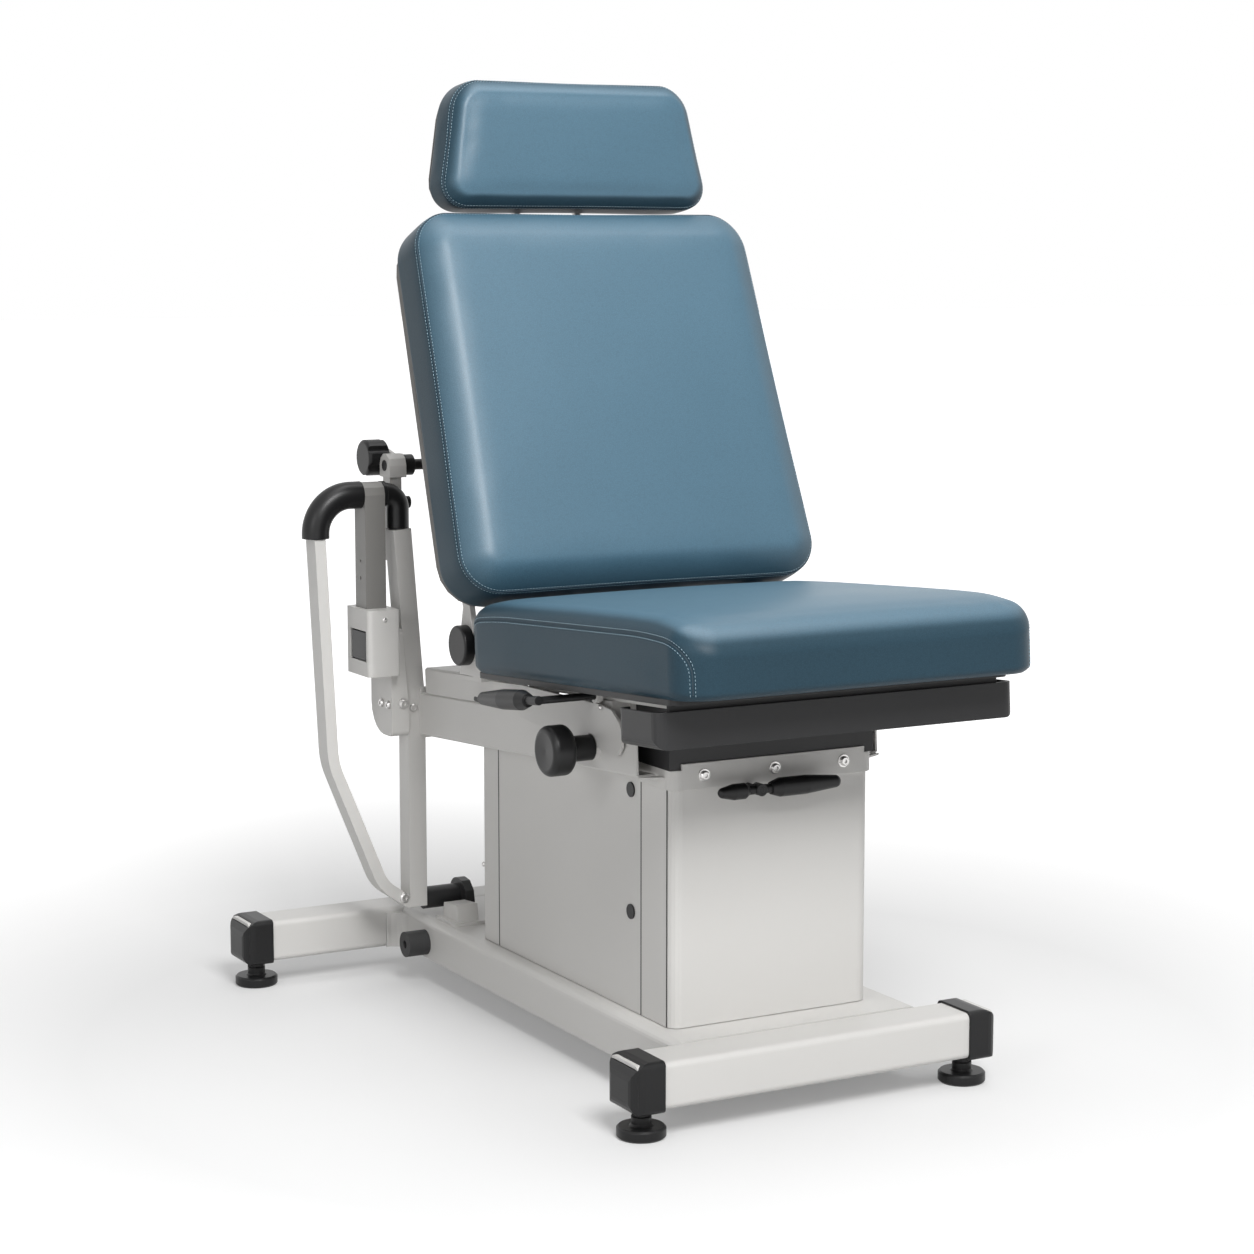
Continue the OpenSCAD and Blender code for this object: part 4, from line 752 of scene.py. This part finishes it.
def hard_finishes():
    """What hard_material is told for each hard finish."""
    paint = bpy.context.scene.chair_finishes
    seam_shade = bpy.context.scene.chair_upholstery.seam_shade
    return {
        "powder_grey": dict(
            name="powder coat", colour=paint.powder, roughness=0.42, drift=(0.05, 3.0, 0.08),
            grain=(1400, 2600, 0.5, 0.25, 0.00012), edge=1.2 * MM, worn=(0.72, 0.71, 0.69)),
        "dark_paint": dict(
            name="charcoal paint", colour=paint.dark, roughness=0.4, drift=(0.25, 4.0, 0.12),
            grain=(1100, 2200, 0.5, 0.3, 0.00012), edge=1.4 * MM, worn=(0.07, 0.07, 0.07), gloss=0.3),
        "black_plastic": dict(
            name="black plastic", colour=paint.plastic, roughness=0.36, drift=(0.2, 9.0, 0.12),
            grain=(1300, 2400, 0.6, 0.3, 0.0001), edge=1.6 * MM, worn=(0.03, 0.03, 0.03), gloss=0.3),
        "black_rubber": dict(
            name="rubber", colour=paint.rubber, roughness=0.62, drift=(0.3, 8.0, 0.15),
            grain=(800, 1800, 0.4, 0.5, 0.0002), edge=1.2 * MM, worn=(0.04, 0.04, 0.04)),
        "zinc": dict(
            name="zinc plate", colour=paint.zinc, roughness=0.3, metallic=1.0, drift=(0.2, 30.0, 0.2),
            grain=(900, 2600, 0.3, 0.15, 0.00005), edge=0.5 * MM, worn=(0.8, 0.8, 0.8)),
        "loop_post": dict(
            name="grey post paint", colour=paint.steel, roughness=0.4, drift=(0.1, 4.0, 0.1),
            grain=(1400, 2600, 0.5, 0.25, 0.00012), edge=1.0 * MM, worn=(0.3, 0.29, 0.28)),
        "shell_brown_grey": dict(
            name="moulded shell", colour=paint.shell, roughness=0.5, drift=(0.12, 5.0, 0.1),
            grain=(700, 1500, 0.5, 0.5, 0.0002), edge=1.5 * MM, worn=(0.2, 0.19, 0.18)),
        # Painted shade: the dark cords in the bottom of the seams
        "seam": dict(
            name="seam shadow", colour=seam_shade, roughness=0.7, drift=(0.1, 20.0, 0.1),
            grain=(900, 1800, 0.5, 0.3, 0.0001), edge=0.3 * MM, worn=seam_shade),
    }


def finish(name):
    """The shared material of a finish, made the first time that it is asked for."""
    cover = bpy.context.scene.chair_upholstery
    if name not in MATERIALS:
        if name == "blue_vinyl":
            MATERIALS[name] = vinyl_material("blue vinyl", cover.vinyl)
        elif name == "thread":
            MATERIALS[name] = thread_material("blue thread", cover.thread)
        else:
            MATERIALS[name] = hard_material(**hard_finishes()[name])
    return MATERIALS[name]


class CHAIR_OT_finishes(bpy.types.Operator):
    """Give every CAD node the finish of its material slot"""
    bl_idname = "chair.finishes"
    bl_label = "Finishes"

    def execute(self, context):
        for part in frame["record"]["subparts"]:
            node = part["node"]
            mesh = frame["nodes"][node].data
            name = OWN_FINISHES.get(node, part["material_slot"])
            for index in range(len(mesh.materials)):
                mesh.materials[index] = finish(name)
            if not mesh.materials:
                mesh.materials.append(finish(name))
        return {"FINISHED"}


# Cushions as pieces
SEAM_STEP = 2.3 * MM
# The cords are painted shade: dark tubes laid in the bottom of the seam grooves
CORD_RADIUS = 0.9 * MM
CORD_SIDES = 8
CORD_RISE = 0.55 * MM


def own_outline(place, radius, taper, draw_in):
    """Outline that fills a cushion node's width and length, less the slack that the filling takes up."""
    slack = bpy.context.scene.chair_upholstery.slack
    half_y = place["size"][1] / 2
    widest = 1 + taper * (0.5 - radius / place["size"][1])
    return Outline(place["size"][0] / 2 / widest - slack, half_y - slack, radius, taper, draw_in)


def paint_facing_shade(obj, place):
    """Mesh attribute painted_light, the mask of the vinyl's painted shade: 1 where the cover faces as the
    cushion's face does, or a little further up and forward, and falling to 0 by a cubic step as it turns to
    the sides or down."""
    up_and_forward = np.array([0.0, -0.3, 0.3])
    dark_below = 0.68
    spread = 0.28
    toward = place["axes"][2] + up_and_forward
    toward /= np.linalg.norm(toward)
    step = np.clip((normals_of(obj) @ toward - dark_below) / spread, 0, 1)
    values = obj.data.attributes.new("painted_light", "FLOAT", "POINT")
    values.data.foreach_set("value", (step * step * (3 - 2 * step)).astype(np.float32))


def sewn(name, node, body, place, rings, paths, voxel):
    """Finishes a cushion: fills it, paints shade on its sides and underside, presses its seams in, and adds
    dark seam cords, painted shade in the bottom of each seam, and two rows of stitches on each seam. paths
    maps a name to the seam's points, whether it is a loop, and the side of its panel."""
    cover = bpy.context.scene.chair_upholstery
    verts, faces = closed_rings(rings)
    verts = filled(verts, faces, voxel, cover.swell)
    cushion = make_object(name, to_world(verts, place), faces, finish("blue_vinyl"))
    tree = surface_of(cushion)
    seams = {}
    for key, (path, closed, hand) in paths.items():
        found = on_surface(tree, to_world(path, place))[0]
        found = smoothed(resampled(found, SEAM_STEP, closed), 4, closed)
        seams[key] = (*on_surface(tree, found), closed, hand)
    every = np.concatenate([seam[0] for seam in seams.values()])
    points = points_of(cushion)
    near = nearest_distance(points, every)
    sink = cover.seam_depth * np.exp(-(near / cover.seam_width) ** 2)
    # Painted shade: the cover gets its painted_light attribute, low on the sides and underside
    paint_facing_shade(cushion, place)
    set_points(cushion, points - normals_of(cushion) * sink[:, None])
    tree = surface_of(cushion)
    pieces = []
    rows = []
    for key, (path, normal, closed, hand) in seams.items():
        even = smoothed(normal, 6, closed)
        bottom = path - even * (cover.seam_depth - CORD_RISE)
        # Painted shade: a dark cord in the bottom of the seam's groove
        pieces.append(tube(key, bottom, CORD_RADIUS, CORD_SIDES, closed, finish("seam")))
        side = np.cross(even, tangents(path, closed)) * hand
        for offset in (cover.stitch_gap, -cover.stitch_gap):
            line = resampled(path + side * offset, cover.stitch_pitch, closed)
            spots, up = on_surface(tree, line)
            rows.append(stitch_row(spots, smoothed(up, 3, closed), closed, cover.stitch_length,
                                   cover.thread_radius))
    pieces.append(make_object(name.replace("cushion", "stitching"), *joined(rows), finish("thread")))
    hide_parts(node)
    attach(cushion, body)
    for piece in pieces:
        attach(piece, body)
    return cushion


class CHAIR_OT_back_cushion(bpy.types.Operator):
    """Make the backrest cushion with its seam and stitching"""
    bl_idname = "chair.back_cushion"
    bl_label = "Backrest Cushion"

    def execute(self, context):
        place = base_frame("back_cushion")
        thick = place["size"][2]
        outline = own_outline(place, radius=58 * MM, taper=0.07, draw_in=1.5 * MM)
        shape = {"seam": 0.73 * thick, "foot": 10 * MM, "lean": 2.5 * MM, "border": 42 * MM,
                 "rise": 0.19 * thick, "crown": 0.045 * thick}
        rings, seam = boxed_rings(outline, shape)
        sewn("back_cushion_cover", "back_cushion", "backrest", place, rings,
             {"back_seam": (seam, True, 1)}, voxel=6 * MM)
        return {"FINISHED"}


class CHAIR_OT_head_cushion(bpy.types.Operator):
    """Make the headrest cushion with its seam and stitching"""
    bl_idname = "chair.head_cushion"
    bl_label = "Headrest Cushion"

    def execute(self, context):
        place = base_frame("head_cushion")
        thick = place["size"][2]
        outline = own_outline(place, radius=42 * MM, taper=0.17, draw_in=1 * MM)
        shape = {"seam": 0.7 * thick, "foot": 8 * MM, "lean": 2 * MM, "border": 18 * MM,
                 "rise": 0.2 * thick, "crown": 0.045 * thick}
        rings, seam = boxed_rings(outline, shape)
        sewn("head_cushion_cover", "head_cushion", "headrest", place, rings,
             {"head_seam": (seam, True, 1)}, voxel=4 * MM)
        return {"FINISHED"}


def side_seam(outline, shape, height, bend):
    """Seam of one side of the seat: up the middle of the front corner, round a bend, along the side, round a
    bend and down the middle of the rear corner. It lies outside the outline, to be brought to the cover."""
    quarter = math.pi * outline.r / 2
    end = quarter + 2 * (outline.hy - outline.r)
    turn = np.linspace(0, math.pi / 2, 16)
    above_base = 3 * MM
    outside = 4 * MM
    rise = np.linspace(above_base, height - bend, 20)[:-1]
    level = np.linspace(bend, end - bend, 160)[1:-1]
    run = np.concatenate([np.zeros(len(rise)), bend * (1 - np.cos(turn)), level,
                          end - bend * (1 - np.sin(turn)), np.full(len(rise), end)])
    up = np.concatenate([rise, height - bend + bend * np.sin(turn), np.full(len(level), height),
                         height - bend + bend * np.cos(turn), rise[::-1]])
    plan, normal = outline.at(run)
    up = up * fall(plan[:, 1], outline, shape)
    return np.concatenate([plan + normal * outside, up[:, None]], -1)


class CHAIR_OT_seat_cushion(bpy.types.Operator):
    """Make the seat cushion with its two side seams and stitching"""
    bl_idname = "chair.seat_cushion"
    bl_label = "Seat Cushion"

    def execute(self, context):
        place = base_frame("seat_cushion")
        thick = place["size"][2]
        outline = own_outline(place, radius=50 * MM, taper=0.0, draw_in=1 * MM)
        shape = {"foot": 9 * MM, "side_radius": 27 * MM, "front_radius": 40 * MM, "top": 0.92 * thick,
                 "crown": 0.05 * thick, "fall_len": 150 * MM, "fall_front": 0.15, "fall_rear": 0.12}
        rings = waterfall_rings(outline, shape)
        left = side_seam(outline, shape, height=0.735 * thick, bend=44 * MM)
        right = left * np.array([-1, 1, 1])
        sewn("seat_cushion_cover", "seat_cushion", "carriage", place, rings,
             {"seat_seam_left": (left, False, 1), "seat_seam_right": (right, False, -1)}, voxel=6 * MM)
        return {"FINISHED"}


# Small trim
def corners(node):
    """Low and high corner of a node's box as arrays."""
    return [np.array(corner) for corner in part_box(node)]


def facing(rings, spot, normal):
    """Local rings, whose z is their height, stood on a spot so that z runs along the normal."""
    up = np.array(normal, float)
    first = np.cross([0.0, 0.0, 1.0], up)
    second = np.cross(up, first)
    return rings @ np.stack([first, second, up]) + np.array(spot)


def round_rings(angle, rows):
    """Rings of points at the given angles from rows of (radius, height)."""
    return np.array([np.stack([wide * np.cos(angle), wide * np.sin(angle), np.full(len(angle), high)], -1)
                     for wide, high in rows])


def screw_rings(radius, height, washer):
    """Rings of a button-head screw on a washer, from the washer's rim inwards: a flat ring, a dome whose
    height grows as the root of the way in, and a six-sided socket sunk in its middle."""
    angle = 2 * math.pi * np.arange(12) / 12
    hexagon = math.cos(math.pi / 6) / np.cos(np.mod(angle, math.pi / 3) - math.pi / 6)
    rise = washer * 0.12
    rows = [(washer, 0.0), (washer, rise), (radius, rise)]
    rows += [(radius * (1 - 0.5 * step ** 2), rise + height * math.sqrt(step)) for step in (0.15, 0.5, 1.0)]
    rows += [(radius * 0.42 * hexagon, rise + height), (radius * 0.4 * hexagon, rise + height * 0.3)]
    return round_rings(angle, rows)


def slot_rings(length, width, height):
    """Rings of a flat bar with round ends and a softened rim: half circles moved apart along the bar."""
    angle = 2 * math.pi * (np.arange(20) + 0.5) / 20
    apart = np.sign(np.cos(angle)) * (length - width) / 2
    rows = [(width / 2, 0.0), (width / 2, height * 0.6), (width / 2 - height * 0.4, height)]
    rings = round_rings(angle, rows)
    rings[..., 0] += apart
    return rings


def trim(name, body, kind, rings_at):
    """One object from several sets of rings, each stood on its own spot, riding a body."""
    parts = [closed_rings(facing(*placed)) for placed in rings_at]
    piece = make_object(name, *joined(parts), finish(kind))
    piece.data.set_sharp_from_angle(angle=bpy.context.scene.chair_finishes.crease)
    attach(piece, body)
    return piece


class CHAIR_OT_trim(bpy.types.Operator):
    """Add screws, joint strips and slots to the hard parts"""
    bl_idname = "chair.trim"
    bl_label = "Small Trim"

    def execute(self, context):
        outward = {-1: (-1, 0, 0), 1: (1, 0, 0)}
        forward = (0, -1, 0)
        screw = screw_rings(radius=3.4 * MM, height=1.6 * MM, washer=3.8 * MM)

        plate_low, plate_high = corners("side_plates")
        on_plate = (plate_low[0], plate_low[1] + 52 * MM, plate_high[2] - 23 * MM)
        socket_low, socket_high = corners("post_socket")
        on_socket = (socket_low[0] + 26 * MM, socket_low[1], socket_high[2] - 14 * MM)
        trim("carriage_screws", "carriage", "zinc",
             [(screw, on_plate, outward[-1]), (screw, on_socket, forward)])

        rail_low, rail_high = corners("right_rail")
        on_rail = (rail_low[0], rail_low[1] + 434 * MM, rail_high[2] - 26 * MM)
        slot = slot_rings(length=52 * MM, width=7 * MM, height=0.8 * MM)
        trim("rail_slot", "carriage", "black_plastic", [(slot, on_rail, outward[-1])])

        rear_low, rear_high = corners("rear_cover")
        near_rear = rear_high[1] - 10 * MM
        low_down = rear_low[2] + 110 * MM
        trim("cover_screws", "base", "zinc",
             [(screw, (side * rear_high[0], near_rear, low_down), outward[side]) for side in (-1, 1)])

        front_low = corners("front_cover")[0]
        wall_low, wall_high = corners("right_cover")
        middle = (wall_high[2] + wall_low[2]) / 2
        joint = 0.6 * MM
        corner = 13 * MM
        places = (wall_high[1] + joint, wall_low[1] - joint, front_low[1] + corner)
        bar = slot_rings(length=wall_high[2] - wall_low[2], width=1.9 * MM, height=0.5 * MM)
        upright = bar[:, :, [1, 0, 2]][:, ::-1]
        trim("cover_joint_strips", "base", "black_rubber",
             [(upright, (-side * wall_low[0], place, middle), outward[side])
              for side in (-1, 1) for place in places])
        return {"FINISHED"}


# Stage
def floor_sheet(name, reach, count, mat):
    """Flat floor: an even grid of points over a square that reaches the same distance each way."""
    line = np.linspace(-reach, reach, count)
    verts = np.stack(np.broadcast_arrays(line[None], line[:, None], np.zeros((count, count))), -1)
    return make_object(name, verts.reshape(-1, 3), grid_faces(count, count, wrap_columns=False), mat)


def floor_material(name, own):
    """Pale floor: faintly mottled, whiter to the camera and in reflections than its own colour, and all white
    far from the chair."""
    mat, tree, shader = blank_material(name)
    vary = group(soft_variation, tree, {"Color": rgba(own.floor), "Amount": 0.02, "Size": 1.5,
                                        "Roughness": 0.75, "Spread": 0.05})
    distance = vector_maths(tree, "LENGTH", {0: object_place(tree)}, "Value")
    white = ramp(tree, distance, own.near, own.far, own.lift, 1.0)
    set_inputs(tree, shader, {
        "Base Color": vary["Color"],
        "Roughness": vary["Roughness"],
        "Emission Color": WHITE,
        "Emission Strength": maths(tree, "MULTIPLY", seen_directly(tree), white),
    })
    return mat


def aimed(name, data, place, aim):
    """A lamp or camera at a place, turned to a point."""
    obj = bpy.data.objects.new(name, data)
    bpy.context.scene.collection.objects.link(obj)
    obj.location = place
    obj.rotation_euler = (Vector(aim) - Vector(place)).to_track_quat("-Z", "Y").to_euler()
    return obj


def area_light(name, place, aim, size, power):
    """A square lamp at a place, turned to a point."""
    lamp = bpy.data.lights.new(name, "AREA")
    lamp.shape = "SQUARE"
    lamp.size = size
    lamp.energy = power
    aimed(name, lamp, place, aim)


class CHAIR_OT_stage(bpy.types.Operator):
    """Add floor, white surroundings, lamps and camera"""
    bl_idname = "chair.stage"
    bl_label = "Stage"

    def execute(self, context):
        scene = context.scene
        own = scene.chair_stage
        floor = floor_sheet("stage_floor", reach=40.0, count=81, mat=floor_material("pale floor", own))

        world = bpy.data.worlds.new("studio")
        scene.world = world
        world.use_nodes = True
        tree = world.node_tree
        strength = maths(tree, "MAXIMUM", seen_directly(tree), own.ambient)
        set_inputs(tree, tree.nodes["Background"], {"Color": WHITE, "Strength": strength})

        middle = (0.0, 0.0, 0.6)
        area_light("key_lamp", (-0.7, -3.1, 3.3), middle, 1.5, own.key)
        area_light("side_lamp", (-3.1, -1.7, 1.7), middle, 1.3, own.side)
        area_light("top_lamp", (0.3, -0.4, 3.4), middle, 2.2, own.top)

        lens = bpy.data.cameras.new("camera")
        lens.sensor_width = 36.0
        lens.lens = own.lens
        lens.clip_end = 60.0
        scene.camera = aimed("camera", lens, own.eye, own.aim)
        scene.view_settings.view_transform = "Standard"
        return {"FINISHED"}


class CHAIR_PT_panel(bpy.types.Panel):
    """Settings and steps of the chair"""
    bl_idname = "CHAIR_PT_panel"
    bl_label = "Podiatry Chair"
    bl_space_type = "VIEW_3D"
    bl_region_type = "UI"
    bl_category = "Podiatry Chair"

    def draw(self, context):
        for step in STEPS:
            self.layout.operator(step.bl_idname)
        for name, kind in SETTINGS.items():
            box = self.layout.box()
            for setting in kind.__annotations__:
                box.prop(getattr(context.scene, name), setting)


SETTINGS = {"chair_upholstery": ChairUpholstery, "chair_finishes": ChairFinishes, "chair_stage": ChairStage}
STEPS = (CHAIR_OT_finishes, CHAIR_OT_seat_cushion, CHAIR_OT_back_cushion, CHAIR_OT_head_cushion,
         CHAIR_OT_trim, CHAIR_OT_stage)


def register():
    """Registers the classes and hangs the settings on the scene."""
    for item in (*SETTINGS.values(), *STEPS, CHAIR_PT_panel):
        bpy.utils.register_class(item)
    for name, kind in SETTINGS.items():
        setattr(bpy.types.Scene, name, bpy.props.PointerProperty(type=kind))


def unregister():
    """Takes the settings and classes away again."""
    for name in SETTINGS:
        delattr(bpy.types.Scene, name)
    for item in (CHAIR_PT_panel, *reversed(STEPS), *SETTINGS.values()):
        bpy.utils.unregister_class(item)


def main():
    register()
    bpy.ops.chair.finishes()
    bpy.ops.chair.seat_cushion()
    bpy.ops.chair.back_cushion()
    bpy.ops.chair.head_cushion()
    bpy.ops.chair.trim()
    bpy.ops.chair.stage()


if __name__ == "__main__":
    main()
